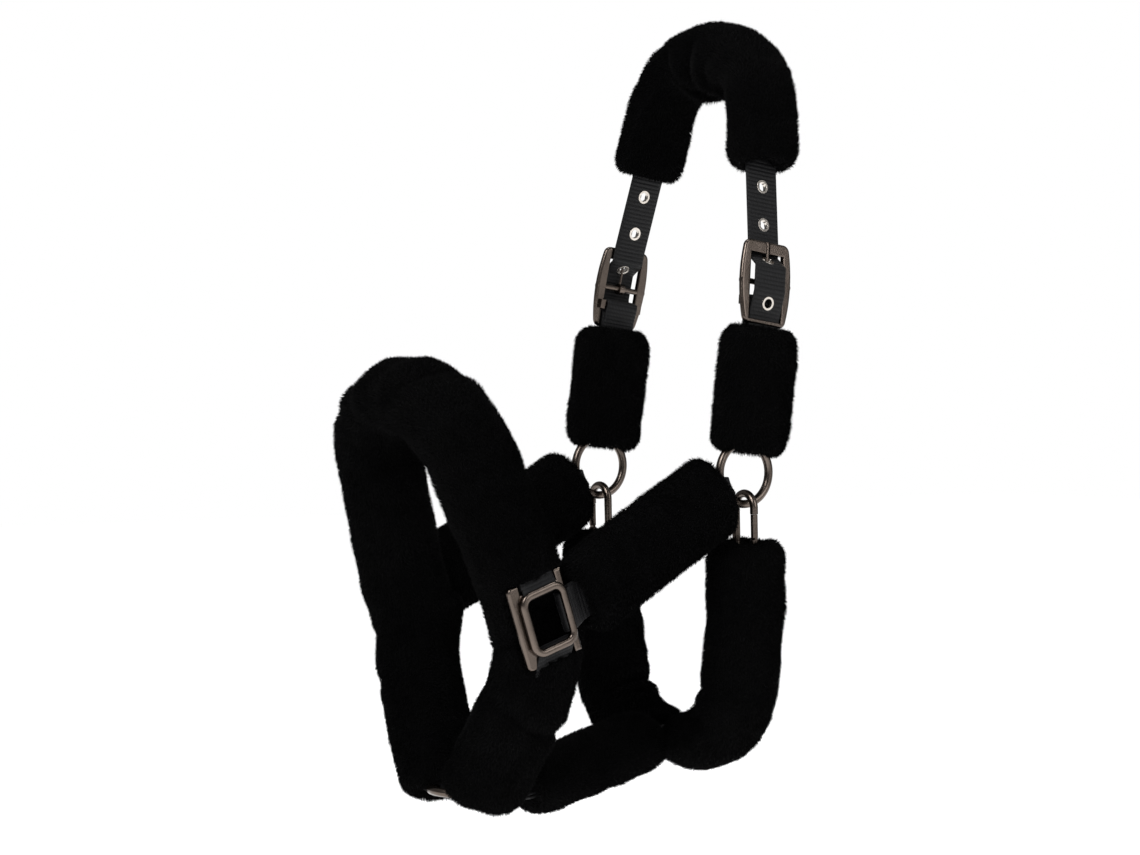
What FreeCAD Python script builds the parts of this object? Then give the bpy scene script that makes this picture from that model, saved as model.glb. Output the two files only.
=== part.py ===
import FreeCAD, Part
import math
import os
import Sketcher

# Plush-covered webbing headcollar, in millimetres. The origin is where the crown sleeve bears on
# the poll. +Z is up, the nose points to -Y, and the horse's near (left) side is +X.

V = FreeCAD.Vector
doc = FreeCAD.newDocument("Headcollar")
sheet = doc.addObject("Spreadsheet::Sheet", "Sizes")

SIZES = {
    # webbing and the slots that it runs in
    "web_width": 25, "web_thick": 2.2, "slot_gap": 0.6, "loop_gap": 0.35,
    # crown: a plane that leans forward as it drops from the poll to the cheek rings
    "crown_lean": 8, "crown_corner": 44, "crown_radius": 50, "crown_leg": 55,
    "crown_half_wide": 27, "crown_half_thick": 22.5,
    # buckles, drawn about the tongue pin
    "pin_side": 79.5, "pin_drop": 134, "buckle_tilt": 6, "pin_radius": 1.9, "pin_gap": 0.1,
    "frame_half_high": 27.5, "frame_half_top": 17.5, "frame_half_middle": 20.5, "frame_half_low": 16.5,
    "window_half": 13.3, "window_high": 19.5, "window_low": 24.3, "frame_thick": 4,
    "keeper_rise": 1.2, "strap_bar_radius": 1.6, "strap_bar_drop": 12, "strap_bar_back": 3.4,
    "notch_wide": 3.2, "notch_deep": 1.6,
    "tongue_radius": 0.9, "tongue_ring": 3.7, "tongue_half_wide": 2, "tongue_reach": 26,
    # eyelets
    "eyelet_hole": 6, "eyelet_barrel": 6.8, "eyelet_flange": 9, "eyelet_lip": 0.35, "eyelet_pitch": 26,
    # cheek rings and chin ring
    "ring_side": 80, "ring_drop": 257, "ring_radius": 20, "wire_radius": 2.75, "loop_half_turn": 24,
    # upper cheek sleeves and cheekpiece sleeves
    "cheek_half_wide": 30, "cheek_half_thick": 21.5, "cheek_sleeve_below_pin": 30, "cheek_sleeve_above_ring": 15,
    "cheekpiece_start": 29, "cheekpiece_stop": 19,
    # halter squares
    "square_side": 86, "square_back": 195, "square_drop": 340, "square_lean": 18.5, "square_wide": 41,
    "square_window_wide": 27, "square_window_tall": 34, "square_bar": 4, "square_horn": 6,
    "square_thick": 4.4, "square_front_rail": 8.5, "square_bore": 3.7,
    # noseband and chin straps
    "nose_side": 68, "nose_corner": 46, "nose_rise": 141, "nose_radius": 52, "nose_tuck": 60,
    "nose_half_wide": 31, "nose_half_thick": 25, "chin_ring_back": 200, "chin_ring_drop": 456,
    "chin_bend": 20, "chin_stop_side": 25, "chin_stop_lift": 3,
    # snap links
    "link_radius": 9.3, "link_wire": 2.6, "link_length": 40, "link_hang": 1.5,
    "gate_top": 26.4, "gate_pivot": 45.8, "gate_radius": 2.3, "gate_pin_radius": 1, "gate_blade": 2,
    # throatlatch and jaw strap
    "throat_lean": -1.5, "throat_depth": 176, "throat_bend": 100, "throat_bend_side": 77,
    "throat_corner": 62, "throat_radius": 46, "throat_sleeve_top": 46, "jaw_half_gap": 14,
    "jaw_bend": 38, "jaw_radius": 28, "jaw_sleeve_after_bend": 11, "jaw_sleeve_before_loop": 17,
}
for row, (name, value) in enumerate(SIZES.items(), start=1):
    sheet.set(f"A{row}", name)
    sheet.set(f"B{row}", str(value))
    sheet.setAlias(f"B{row}", name)
doc.recompute()


def size(name):
    return float(sheet.get(name))


web_width = size("web_width")
web_thick = size("web_thick")
double = 2 * web_thick
slot_wide = web_width + 2 * size("slot_gap")
slot_single = web_thick + 2 * size("slot_gap")
slot_double = double + 2 * size("slot_gap")


# places

def placed(origin, across, along):
    """The placement that takes local x to across and local y, as nearly as it can, to along."""
    across = V(across).normalize()
    along = (along - across * across.dot(along)).normalize()
    normal = across.cross(along)
    return FreeCAD.Placement(FreeCAD.Matrix(
        across.x, along.x, normal.x, origin.x,
        across.y, along.y, normal.y, origin.y,
        across.z, along.z, normal.z, origin.z,
        0, 0, 0, 1))


def downward(lean):
    """Down a plane whose lower end leans forward by lean degrees."""
    return V(0, -math.sin(math.radians(lean)), -math.cos(math.radians(lean)))


SIDE = V(1, 0, 0)
ORIGIN = V(0, 0, 0)
crown_place = placed(ORIGIN, SIDE, downward(size("crown_lean")))
ring_centre = crown_place.multVec(V(size("ring_side"), size("ring_drop"), 0))
ring_middle = V(0, ring_centre.y, ring_centre.z)

tilt = math.radians(size("buckle_tilt"))
buckle_out = V(math.cos(tilt), -math.sin(tilt), 0)
buckle_up = V(-math.sin(tilt), -math.cos(tilt), 0)
pin_spot = V(size("pin_side"), size("pin_drop"), 0)


def in_crown(out, up):
    """A point of the crown plane, from its distances out of and up the buckle from the pin."""
    return pin_spot + buckle_out * out + buckle_up * up


pin_centre = crown_place.multVec(pin_spot)
# the buckle's own axes: x across the strap, y up the strap, z outward
crown_turn = crown_place.Rotation
buckle_place = placed(pin_centre, crown_turn.multVec(buckle_up.cross(buckle_out)), crown_turn.multVec(buckle_up))

square_lean = math.radians(size("square_lean"))
nose_up = V(0, -math.sin(square_lean), math.cos(square_lean))
square_rear = V(0, math.cos(square_lean), math.sin(square_lean))
square_centre = V(size("square_side"), -size("square_back"), -size("square_drop"))
square_place = placed(square_centre, square_rear, nose_up)
bar_height = (size("square_window_tall") + size("square_bar")) / 2
nose_middle = V(0, square_centre.y, square_centre.z)
nose_place = placed(nose_middle, SIDE, nose_up)
chin_start = nose_middle - nose_up * bar_height
chin_ring_centre = V(0, -size("chin_ring_back"), -size("chin_ring_drop"))
chin_down = V(chin_ring_centre - chin_start).normalize()
chin_depth = (chin_ring_centre - chin_start).Length
chin_place = placed(chin_start, SIDE, chin_down)
throat_place = placed(ring_middle, SIDE, downward(size("throat_lean")))

# strap and sleeve shapes


def track(points, shift=0.0):
    """Straight runs and tangent arcs of a path of (x, y, corner radius), moved to its left by shift."""
    spots = [V(x, y, 0) for x, y, radius in points]
    headings = [(after - before).normalize() for before, after in zip(spots, spots[1:])]
    lefts = [V(-heading.y, heading.x, 0) for heading in headings]
    edges = []
    start = spots[0] + lefts[0] * shift
    for i in range(1, len(spots) - 1):
        radius = points[i][2]
        side = math.copysign(1, headings[i - 1].cross(headings[i]).z)
        reach = radius * math.tan(headings[i - 1].getAngle(headings[i]) / 2)
        centre = spots[i] - headings[i - 1] * reach + lefts[i - 1] * (side * radius)
        first = spots[i] - headings[i - 1] * reach + lefts[i - 1] * shift
        last = spots[i] + headings[i] * reach + lefts[i] * shift
        outward = V(spots[i] - centre).normalize()
        edges.append(Part.LineSegment(start, first).toShape())
        edges.append(Part.Arc(first, centre + outward * (radius - side * shift), last).toShape())
        start = last
    edges.append(Part.LineSegment(start, spots[-1] + lefts[-1] * shift).toShape())
    return edges


def plate(edges, width):
    """The closed outline, extruded evenly to both sides of the local plane."""
    face = Part.Face(Part.Wire(Part.__sortEdges__(edges)))
    face.translate(V(0, 0, -width / 2))
    return face.extrude(V(0, 0, width))


def band(points, thick, width):
    """Flat webbing along a path in the local xy plane."""
    left = track(points, thick / 2)
    right = track(points, -thick / 2)
    ends = [
        Part.LineSegment(left[0].Vertexes[0].Point, right[0].Vertexes[0].Point).toShape(),
        Part.LineSegment(left[-1].Vertexes[-1].Point, right[-1].Vertexes[-1].Point).toShape(),
    ]
    return plate(left + right + ends, width)


def tube(points, half_wide, half_thick):
    """A plush sleeve of oval section along a path in the local xy plane."""
    spine = Part.Wire(track(points))
    start = V(points[0][0], points[0][1], 0)
    heading = V(points[1][0] - start.x, points[1][1] - start.y, 0).normalize()
    section = Part.Wire(Part.Ellipse(ORIGIN, half_wide, half_thick).toShape())
    section.Placement = placed(start, V(0, 0, 1), V(-heading.y, heading.x, 0))
    return spine.makePipeShell([section], True, False)


def neck_face(radius, bore, neck):
    """The section of a strap's end loop: an eye at height radius that tapers to the doubled strap."""
    eye = bore + web_thick
    disc = Part.Face(Part.Wire(Part.makeCircle(eye, V(0, radius, 0))))
    corners = [
        V(-eye * 0.97, radius + eye * 0.24, 0), V(eye * 0.97, radius + eye * 0.24, 0),
        V(web_thick, radius + neck, 0), V(-web_thick, radius + neck, 0),
    ]
    taper = Part.Face(Part.makePolygon(corners + corners[:1]))
    return disc.fuse(taper).removeSplitter().Faces[0]


def bar_loop(bore, neck, width):
    """An end loop about a straight bar that lies along local z at the local origin."""
    face = neck_face(0, bore, neck)
    face.translate(V(0, 0, -width / 2))
    hole = Part.makeCylinder(bore, width + 2, V(0, 0, -width / 2 - 1))
    return face.extrude(V(0, 0, width)).cut(hole)


def ring_loop(radius, wire, neck, half_turn, width):
    """An end loop about a round ring, whose axis is local x and centre the local origin."""
    bore = wire + size("loop_gap")
    face = neck_face(radius, bore, neck)
    face.rotate(ORIGIN, SIDE, -half_turn)
    saddle = face.revolve(ORIGIN, SIDE, 2 * half_turn)
    hole = Part.makeTorus(radius, bore, ORIGIN, SIDE)
    slab = Part.makeBox(80, radius + neck + 20, width, V(-40, 0, -width / 2))
    return saddle.common(slab).cut(hole)


def mirrored(points):
    """A path from the near side to the middle, carried on to the far side."""
    return points + [(-x, y, radius) for x, y, radius in reversed(points)]


nodes = []


def soft(label, shape, place):
    """A sub-part whose shape is set here and then placed."""
    piece = doc.addObject("Part::Feature", label)
    piece.Shape = shape
    piece.Placement = place
    piece.Label = label
    nodes.append(piece)
    return piece


def moved(shape, place):
    copy = shape.copy()
    copy.Placement = place.multiply(copy.Placement)
    return copy


def as_one(*shapes):
    whole = shapes[0].fuse(list(shapes[1:])).removeSplitter()
    return whole.Solids[0] if len(whole.Solids) == 1 else whole


def far_side(piece):
    """The far-side twin of a near-side sub-part."""
    twin = doc.addObject("Part::Mirroring", piece.Label.replace("near", "far"))
    twin.Source = piece
    twin.Normal = SIDE
    twin.Label = piece.Label.replace("near", "far")
    nodes.append(twin)
    return twin


pairs = []

# crown strap with its eyelets

strap_back = -(size("frame_thick") / 2 + 0.35 + web_thick / 2)
strap_over = size("tongue_ring") + 0.4 + web_thick / 2
tail_out = size("keeper_rise") - 0.3 - web_thick / 2
tight_bend = web_thick / 2 + 0.15
window_high, window_low = size("window_high"), size("window_low")
slope_top = 11
upper_bend = window_high + 7
crown_top = -size("crown_half_thick")
tail_spots = [
    (in_crown(strap_back, upper_bend), 20),
    (in_crown(strap_back, window_high - 1), tight_bend),
    (in_crown(strap_over, slope_top), tight_bend),
    (in_crown(strap_over, -6), 6),
    (in_crown(tail_out, -window_low - 0.5), 6),
    (in_crown(tail_out, -window_low - 26), 0),
]
crown_half = [(0, crown_top, 0), (size("crown_corner"), crown_top, size("crown_radius"))]
crown_half += [(spot.x, spot.y, radius) for spot, radius in tail_spots]


def eyelet(spot, heading):
    """A flanged eyelet whose hole crosses the strap at spot."""
    barrel_long = web_thick + 2 * size("eyelet_lip")
    barrel = Part.makeCylinder(size("eyelet_barrel") / 2, barrel_long, V(0, 0, -barrel_long / 2))
    lips = [
        Part.makeCylinder(size("eyelet_flange") / 2, size("eyelet_lip"), V(0, 0, low))
        for low in (web_thick / 2, -web_thick / 2 - size("eyelet_lip"))
    ]
    hole = Part.makeCylinder(size("eyelet_hole") / 2, barrel_long + 2, V(0, 0, -barrel_long / 2 - 1))
    ring = as_one(barrel, *lips).cut(hole)
    rims = [edge for edge in ring.Edges if abs(abs(edge.BoundBox.ZMax) - barrel_long / 2) < 0.01]
    ring = ring.makeFillet(size("eyelet_lip") * 0.45, rims)
    return moved(ring, placed(spot, heading, V(0, 0, 1)))


def eyelet_bore(spot, heading):
    bore = Part.makeCylinder(size("eyelet_barrel") / 2, 20, V(0, 0, -10))
    return moved(bore, placed(spot, heading, V(0, 0, 1)))


# the tongue's eyelet sits where the strap crosses from behind the frame to over the pin
slope_start, slope_stop = in_crown(strap_back, window_high - 1), in_crown(strap_over, slope_top)
slope = V(slope_stop - slope_start)
tongue_spot = slope_start + slope * 0.56
slope.normalize()
leg_start = in_crown(strap_back, upper_bend)
leg_heading = V(leg_start - V(size("crown_corner"), crown_top, 0)).normalize()
half_pitch = size("eyelet_pitch") / 2
upper_spots = [leg_start - leg_heading * (half_pitch * step) for step in (1, 3)]
tail_start = in_crown(strap_over, -6)
tail_heading = V(in_crown(tail_out, -window_low - 0.5) - tail_start).normalize()
eyelet_spots = [(spot, leg_heading) for spot in upper_spots]
eyelet_spots += [(tongue_spot, slope), (tail_start + tail_heading * 7.5, tail_heading)]

half_strap = band(crown_half, web_thick, web_width)
for spot, heading in eyelet_spots:
    half_strap = half_strap.cut(eyelet_bore(spot, heading))
crown_strap = as_one(half_strap, half_strap.mirror(ORIGIN, SIDE))
soft("crown_strap", crown_strap, crown_place)
near_eyelets = Part.makeCompound([eyelet(*spot) for spot in eyelet_spots])
pairs.append(soft("near_eyelets", near_eyelets, crown_place))

leg_drop = size("crown_leg") - crown_top
sleeve_leg = V(size("crown_corner"), crown_top, 0) + leg_heading * (leg_drop / leg_heading.y)
crown_sleeve_half = [(sleeve_leg.x, sleeve_leg.y, 0), (size("crown_corner"), crown_top, size("crown_radius"))]
crown_sleeve_path = mirrored(crown_sleeve_half)
crown_sleeve = tube(crown_sleeve_path, size("crown_half_wide"), size("crown_half_thick"))
long_half = [(leg_start.x, leg_start.y, 0), crown_sleeve_half[1]]
soft("crown_sleeve", crown_sleeve.cut(band(mirrored(long_half), slot_single, slot_wide)), crown_place)

# buckles


def sketch_on(body, name, role="XY_Plane"):
    sketch = body.newObject("Sketcher::SketchObject", name)
    plane = next(feature for feature in body.Origin.OriginFeatures if feature.Role == role)
    sketch.AttachmentSupport = [(plane, "")]
    sketch.MapMode = "FlatFace"
    return sketch


def bowed_outline(sketch, low_half, low, middle_half, high_half, high):
    """A closed outline, even about local y, with level ends and bowed sides. Sizes are aliases."""
    a, b, m, c, d = (size(name) for name in (low_half, low, middle_half, high_half, high))
    sketch.addGeometry(Part.LineSegment(V(-a, -b, 0), V(a, -b, 0)))
    sketch.addGeometry(Part.Arc(V(a, -b, 0), V(m, 0, 0), V(c, d, 0)))
    sketch.addGeometry(Part.LineSegment(V(c, d, 0), V(-c, d, 0)))
    sketch.addGeometry(Part.Arc(V(-c, d, 0), V(-m, 0, 0), V(-a, -b, 0)))
    sketch.addGeometry([Part.Point(V(m, 0, 0)), Part.Point(V(-m, 0, 0))], True)
    for first, second in ((0, 1), (1, 2), (2, 3), (3, 0)):
        sketch.addConstraint(Sketcher.Constraint("Coincident", first, 2, second, 1))
    for line in (0, 2):
        sketch.addConstraint(Sketcher.Constraint("Symmetric", line, 1, line, 2, -2))
    sketch.addConstraint(Sketcher.Constraint("Symmetric", 4, 1, 5, 1, -2))
    sketch.addConstraint(Sketcher.Constraint("PointOnObject", 4, 1, -1))
    sketch.addConstraint(Sketcher.Constraint("PointOnObject", 4, 1, 1))
    sketch.addConstraint(Sketcher.Constraint("PointOnObject", 5, 1, 3))
    sized = [
        (("DistanceX", -1, 1, 0, 2, a), low_half), (("DistanceY", 0, 2, -1, 1, b), low),
        (("DistanceX", -1, 1, 4, 1, m), middle_half),
        (("DistanceX", -1, 1, 1, 2, c), high_half), (("DistanceY", -1, 1, 1, 2, d), high),
    ]
    for settings, alias in sized:
        index = sketch.addConstraint(Sketcher.Constraint(*settings))
        sketch.setExpression(f"Constraints[{index}]", f"Sizes.{alias}")


def bind(piece, **sizes):
    for name, formula in sizes.items():
        piece.setExpression(name.replace("__", "."), formula)
    return piece


def primitive(body, kind, name, sizes, place=(0, 0, 0)):
    """A PartDesign box or cylinder whose sizes and place are formulas of the sheet."""
    piece = body.newObject(f"PartDesign::{kind}", name)
    plane = next(feature for feature in body.Origin.OriginFeatures if feature.Role == "XY_Plane")
    piece.AttachmentSupport = [(plane, "")]
    piece.MapMode = "FlatFace"
    bind(piece, **sizes)
    for axis, formula in zip("xyz", place):
        piece.setExpression(f"AttachmentOffset.Base.{axis}", str(formula))
    return piece


def round_edges(body, base, name, radius, chosen):
    doc.recompute()
    edges = [f"Edge{i}" for i, edge in enumerate(base.Shape.Edges, start=1) if chosen(edge)]
    fillet = body.newObject("PartDesign::Fillet", name)
    fillet.Base = (base, edges)
    fillet.Radius = radius
    doc.recompute()
    return fillet


buckle = doc.addObject("PartDesign::Body", "NearBuckleFrame")
outer = sketch_on(buckle, "FrameOutline")
bowed_outline(
    outer, "frame_half_low", "frame_half_high", "frame_half_middle", "frame_half_top", "frame_half_high")
frame_pad = buckle.newObject("PartDesign::Pad", "FramePad")
frame_pad.Profile = outer
frame_pad.Midplane = True
bind(frame_pad, Length="Sizes.frame_thick")
doc.recompute()
frame_corners = round_edges(
    buckle, frame_pad, "FrameCorners", 5,
    lambda edge: edge.BoundBox.ZLength > 1 and edge.Curve.TypeId == "Part::GeomLine")
frame_rims = round_edges(
    buckle, frame_corners, "FrameRims", 1.8,
    lambda edge: abs(abs(edge.CenterOfMass.z) - size("frame_thick") / 2) < 0.01)
opening = primitive(
    buckle, "SubtractiveBox", "FrameWindow",
    {"Length": "2 * Sizes.window_half", "Width": "Sizes.window_high + Sizes.window_low",
     "Height": "Sizes.frame_thick * 2"},
    ("-Sizes.window_half", "-Sizes.window_low", "-Sizes.frame_thick"))
window_rims = round_edges(
    buckle, opening, "WindowRims", 0.8,
    lambda edge: abs(abs(edge.CenterOfMass.z) - size("frame_thick") / 2) < 0.01
    and abs(edge.CenterOfMass.x) < size("window_half") + 0.01
    and -size("window_low") - 0.01 < edge.CenterOfMass.y
    and edge.CenterOfMass.y < size("window_high") + 0.01)
keeper_cut = primitive(
    buckle, "SubtractiveBox", "KeeperRelief",
    {"Length": "2 * Sizes.window_half", "Width": "Sizes.frame_half_high", "Height": "Sizes.frame_thick"},
    ("-Sizes.window_half", "-2 * Sizes.frame_half_high + 4", "Sizes.keeper_rise - Sizes.frame_thick"))
strap_bar = primitive(
    buckle, "AdditiveCylinder", "StrapBar",
    {"Radius": "Sizes.strap_bar_radius", "Height": "2 * Sizes.window_half + 4"},
    ("-Sizes.window_half - 2", "-Sizes.strap_bar_drop", "-Sizes.strap_bar_back"))
strap_bar.AttachmentOffset = FreeCAD.Placement(strap_bar.AttachmentOffset.Base, FreeCAD.Rotation(V(0, 1, 0), 90))
for side in (-1, 1):
    primitive(
        buckle, "AdditiveBox", f"StrapBarLug{'Left' if side < 0 else 'Right'}",
        {"Length": "3.6", "Width": "6", "Height": "Sizes.strap_bar_back + Sizes.strap_bar_radius"},
        ("Sizes.window_half" if side > 0 else "-Sizes.window_half - 3.6",
         "-Sizes.strap_bar_drop - 3", "-Sizes.strap_bar_back - Sizes.strap_bar_radius"))
pin_bore = primitive(
    buckle, "SubtractiveCylinder", "PinBore",
    {"Radius": "Sizes.pin_radius", "Height": "2 * Sizes.frame_half_middle + 4"},
    ("-Sizes.frame_half_middle - 2", 0, 0))
pin_bore.AttachmentOffset = FreeCAD.Placement(pin_bore.AttachmentOffset.Base, FreeCAD.Rotation(V(0, 1, 0), 90))
notch = primitive(
    buckle, "SubtractiveBox", "TongueNotch",
    {"Length": "Sizes.notch_wide", "Width": "Sizes.frame_half_high - Sizes.window_high + 2",
     "Height": "Sizes.frame_thick"},
    ("-Sizes.notch_wide / 2", "Sizes.window_high - 1", "Sizes.frame_thick / 2 - Sizes.notch_deep"))
buckle.Placement = buckle_place
buckle.Label = "near_buckle_frame"
nodes.append(buckle)
pairs.append(buckle)

pin = doc.addObject("Part::Cylinder", "NearBucklePin")
bind(pin, Radius="Sizes.pin_radius", Height="2 * Sizes.frame_half_middle - 1")
doc.recompute()
pin_half = pin.Height.Value / 2
pin.Placement = buckle_place.multiply(
    FreeCAD.Placement(V(-pin_half, 0, 0), FreeCAD.Rotation(V(0, 1, 0), 90)))
pin.Label = "near_buckle_pin"
nodes.append(pin)
pairs.append(pin)

# the tongue: an eye about the pin and a prong that runs through the eyelet to the notch
prong_low = V(0, 1.5, 1.2)
prong_rest = size("frame_thick") / 2 - size("notch_deep") + size("tongue_radius") + 0.15
prong_high = V(0, size("tongue_reach"), prong_rest)
prong_run = prong_high - prong_low
prong = Part.makeCylinder(size("tongue_radius"), prong_run.Length, prong_low, prong_run)
tip = Part.makeSphere(size("tongue_radius"), prong_high)
eye_wide = 2 * size("tongue_half_wide")
eye_start = V(-size("tongue_half_wide"), 0, 0)
eye = Part.makeCylinder(size("tongue_ring"), eye_wide, eye_start, SIDE)
bore = Part.makeCylinder(size("pin_radius") + size("pin_gap"), eye_wide + 2, eye_start - SIDE, SIDE)
pairs.append(soft("near_buckle_tongue", as_one(eye, prong, tip).cut(bore), buckle_place))

# upper cheek straps and sleeves

fold = in_crown(-size("strap_bar_back"), -size("strap_bar_drop"))
ring_spot = V(size("ring_side"), size("ring_drop"), 0)
ring_radius, wire_radius = size("ring_radius"), size("wire_radius")
half_turn = size("loop_half_turn")
neck = 14
bar_neck = 11
cheek_strap = band(
    [(fold.x, fold.y + 9, 0), (ring_spot.x, ring_spot.y - ring_radius - 9, 0)], double, web_width)
strap_heading = V(ring_spot.x - fold.x, ring_spot.y - ring_radius - fold.y, 0)
top_loop = moved(
    bar_loop(size("strap_bar_radius") + 0.2, bar_neck, web_width),
    placed(fold, strap_heading.cross(V(0, 0, 1)), strap_heading))
low_loop = moved(
    ring_loop(ring_radius, wire_radius, neck, half_turn, web_width),
    placed(ring_spot, SIDE, V(0, -1, 0)))
cheek_webbing = as_one(cheek_strap, top_loop, low_loop)
pairs.append(soft("near_upper_cheek_strap", cheek_webbing, crown_place))

cheek_sleeve_top = size("pin_drop") + size("cheek_sleeve_below_pin")
cheek_sleeve_end = size("ring_drop") - size("cheek_sleeve_above_ring")
cheek_path = [(ring_spot.x + 0.5, cheek_sleeve_top, 0), (ring_spot.x + 0.5, cheek_sleeve_end, 0)]
cheek_sleeve = tube(cheek_path, size("cheek_half_wide"), size("cheek_half_thick"))
cheek_slot = band([(fold.x, fold.y, 0), (ring_spot.x, ring_spot.y, 0)], slot_double, slot_wide)
tail_slot = band(crown_half[-2:], slot_single, slot_wide)
loop_room = moved(
    ring_loop(ring_radius, wire_radius + 0.8, neck, half_turn + 12, slot_wide),
    placed(ring_spot, SIDE, V(0, -1, 0)))
ring_room = Part.makeTorus(ring_radius, wire_radius + 1.2, ring_spot, SIDE)
cheek_sleeve = cheek_sleeve.cut([cheek_slot, tail_slot, loop_room, ring_room, cheek_webbing])
pairs.append(soft("near_upper_cheek_sleeve", cheek_sleeve, crown_place))

# cheek rings

for label, centre, axis in (("near_cheek_ring", ring_centre, SIDE), ("chin_ring", chin_ring_centre, chin_down)):
    ring = doc.addObject("Part::Torus", label.replace("_", ""))
    bind(ring, Radius1="Sizes.ring_radius", Radius2="Sizes.wire_radius")
    ring.Placement = FreeCAD.Placement(centre, FreeCAD.Rotation(V(0, 0, 1), axis))
    ring.Label = label
    nodes.append(ring)
    if label.startswith("near"):
        pairs.append(ring)

# halter squares

square = doc.addObject("PartDesign::Body", "NearSquare")
front_edge = "(-Sizes.square_window_wide / 2 - Sizes.square_front_rail)"
tall = "(Sizes.square_window_tall + 2 * Sizes.square_bar + 2 * Sizes.square_horn)"
blank = primitive(
    square, "AdditiveBox", "SquareBlank",
    {"Length": "Sizes.square_wide", "Width": tall, "Height": "Sizes.square_thick"},
    (front_edge, f"-{tall} / 2", "-Sizes.square_thick / 2"))
window = primitive(
    square, "SubtractiveBox", "SquareWindow",
    {"Length": "Sizes.square_window_wide", "Width": "Sizes.square_window_tall",
     "Height": "Sizes.square_thick * 2"},
    ("-Sizes.square_window_wide / 2", "-Sizes.square_window_tall / 2", "-Sizes.square_thick"))
for name, low in (
        ("TopHorns", "Sizes.square_window_tall / 2 + Sizes.square_bar"),
        ("LowHorns", "-Sizes.square_window_tall / 2 - Sizes.square_bar - Sizes.square_horn - 1")):
    gap = primitive(
        square, "SubtractiveBox", name,
        {"Length": "Sizes.square_window_wide", "Width": "Sizes.square_horn + 1",
         "Height": "Sizes.square_thick * 2"},
        ("-Sizes.square_window_wide / 2", low, "-Sizes.square_thick"))
horn_tall = size("square_window_tall") / 2 + size("square_bar") + size("square_horn")
tips = round_edges(
    square, gap, "HornTips", 3.5,
    lambda edge: edge.BoundBox.ZLength > 1 and abs(abs(edge.CenterOfMass.y) - horn_tall) < 0.01
    and (edge.CenterOfMass.x < -size("square_window_wide") / 2 - 1))
rims = round_edges(
    square, tips, "SquareRims", 1.6,
    lambda edge: abs(abs(edge.CenterOfMass.z) - size("square_thick") / 2) < 0.01)
panel = primitive(
    square, "SubtractiveBox", "RailPanel",
    {"Length": "3.6", "Width": "26", "Height": "1"},
    (f"{front_edge} + 2.6", "-13", "Sizes.square_thick / 2 - 0.5"))
square.Placement = square_place
square.Label = "near_square"
nodes.append(square)
pairs.append(square)

# noseband

square_side, nose_side = size("square_side"), size("nose_side")
nose_rise, nose_tuck = size("nose_rise"), size("nose_tuck")
bore_radius = size("square_bore")
nose_corner = (size("nose_corner"), nose_rise, size("nose_radius"))
tube_tuck_x = nose_side + (nose_corner[0] - nose_side) * nose_tuck / nose_rise
nose_half = [
    (square_side, bar_height + 4, 0), (square_side, bar_height + 13, 10),
    (tube_tuck_x, nose_tuck + 8, 14), nose_corner]
nose_band = band(mirrored(nose_half), web_thick, web_width)
nose_lead = band([nose_half[0], (square_side, bar_height + 12, 0)], double, web_width)
nose_loop = moved(
    bar_loop(bore_radius, bar_neck, web_width), placed(V(square_side, bar_height, 0), SIDE, V(0, 1, 0)))
nose_ends = as_one(nose_loop, nose_lead)
soft("nose_strap", as_one(nose_band, nose_ends, nose_ends.mirror(ORIGIN, SIDE)), nose_place)

nose_tube_half = [(nose_side, -14, 0), (nose_side, 22, 60), nose_corner]
nose_tube = tube(mirrored(nose_tube_half), size("nose_half_wide"), size("nose_half_thick"))
half_pocket = (size("square_wide") / 2 + 5, horn_tall + 1.5)
pocket_low = square_side - bore_radius - web_thick - 0.8
pocket = Part.makeBox(
    40, 2 * half_pocket[1], 2 * half_pocket[0] + 11, V(pocket_low, -half_pocket[1], -half_pocket[0] - 11))
nose_slot = band(mirrored(nose_half), slot_single, slot_wide)
lead_slot = band([nose_half[0], (square_side, bar_height + 22, 0)], slot_double + 4, slot_wide)
nose_cuts = [nose_slot, pocket, lead_slot, pocket.mirror(ORIGIN, SIDE), lead_slot.mirror(ORIGIN, SIDE)]
nose_sleeve = max(nose_tube.cut(nose_cuts).Solids, key=lambda solid: solid.Volume)
soft("nose_sleeve", nose_sleeve, nose_place)

# chin straps, which run from the squares down to the chin ring

chin_neck = 9
stop = V(size("chin_stop_side"), chin_depth - size("chin_stop_lift"), 0)
bend = V(nose_side, size("chin_bend"), 0)
chin_path = [
    (square_side, 15.4, 0), (square_side, 19, 8), (nose_side - 8, 46, 20),
    (ring_radius + 20, chin_depth, 7), (ring_radius + chin_neck - 2, chin_depth, 0)]
chin_band = band(chin_path, web_thick, web_width)
# the top loop is square to the bar, so the strap turns a little as it leaves it
bar_centre = square_place.multVec(V(0, -bar_height, 0))
chin_top = moved(
    moved(bar_loop(bore_radius, 17, web_width), placed(bar_centre, SIDE, nose_up * -1)), chin_place.inverse())
# the loop on the ring is drawn about the ring's axis, which lies along the plane's own y
chin_eye = moved(
    ring_loop(ring_radius, wire_radius, chin_neck, half_turn, web_width),
    placed(V(0, chin_depth, 0), V(0, 1, 0), SIDE))
chin_strap = as_one(chin_band, chin_top, chin_eye)
pairs.append(soft("near_chin_strap", chin_strap, chin_place))

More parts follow.
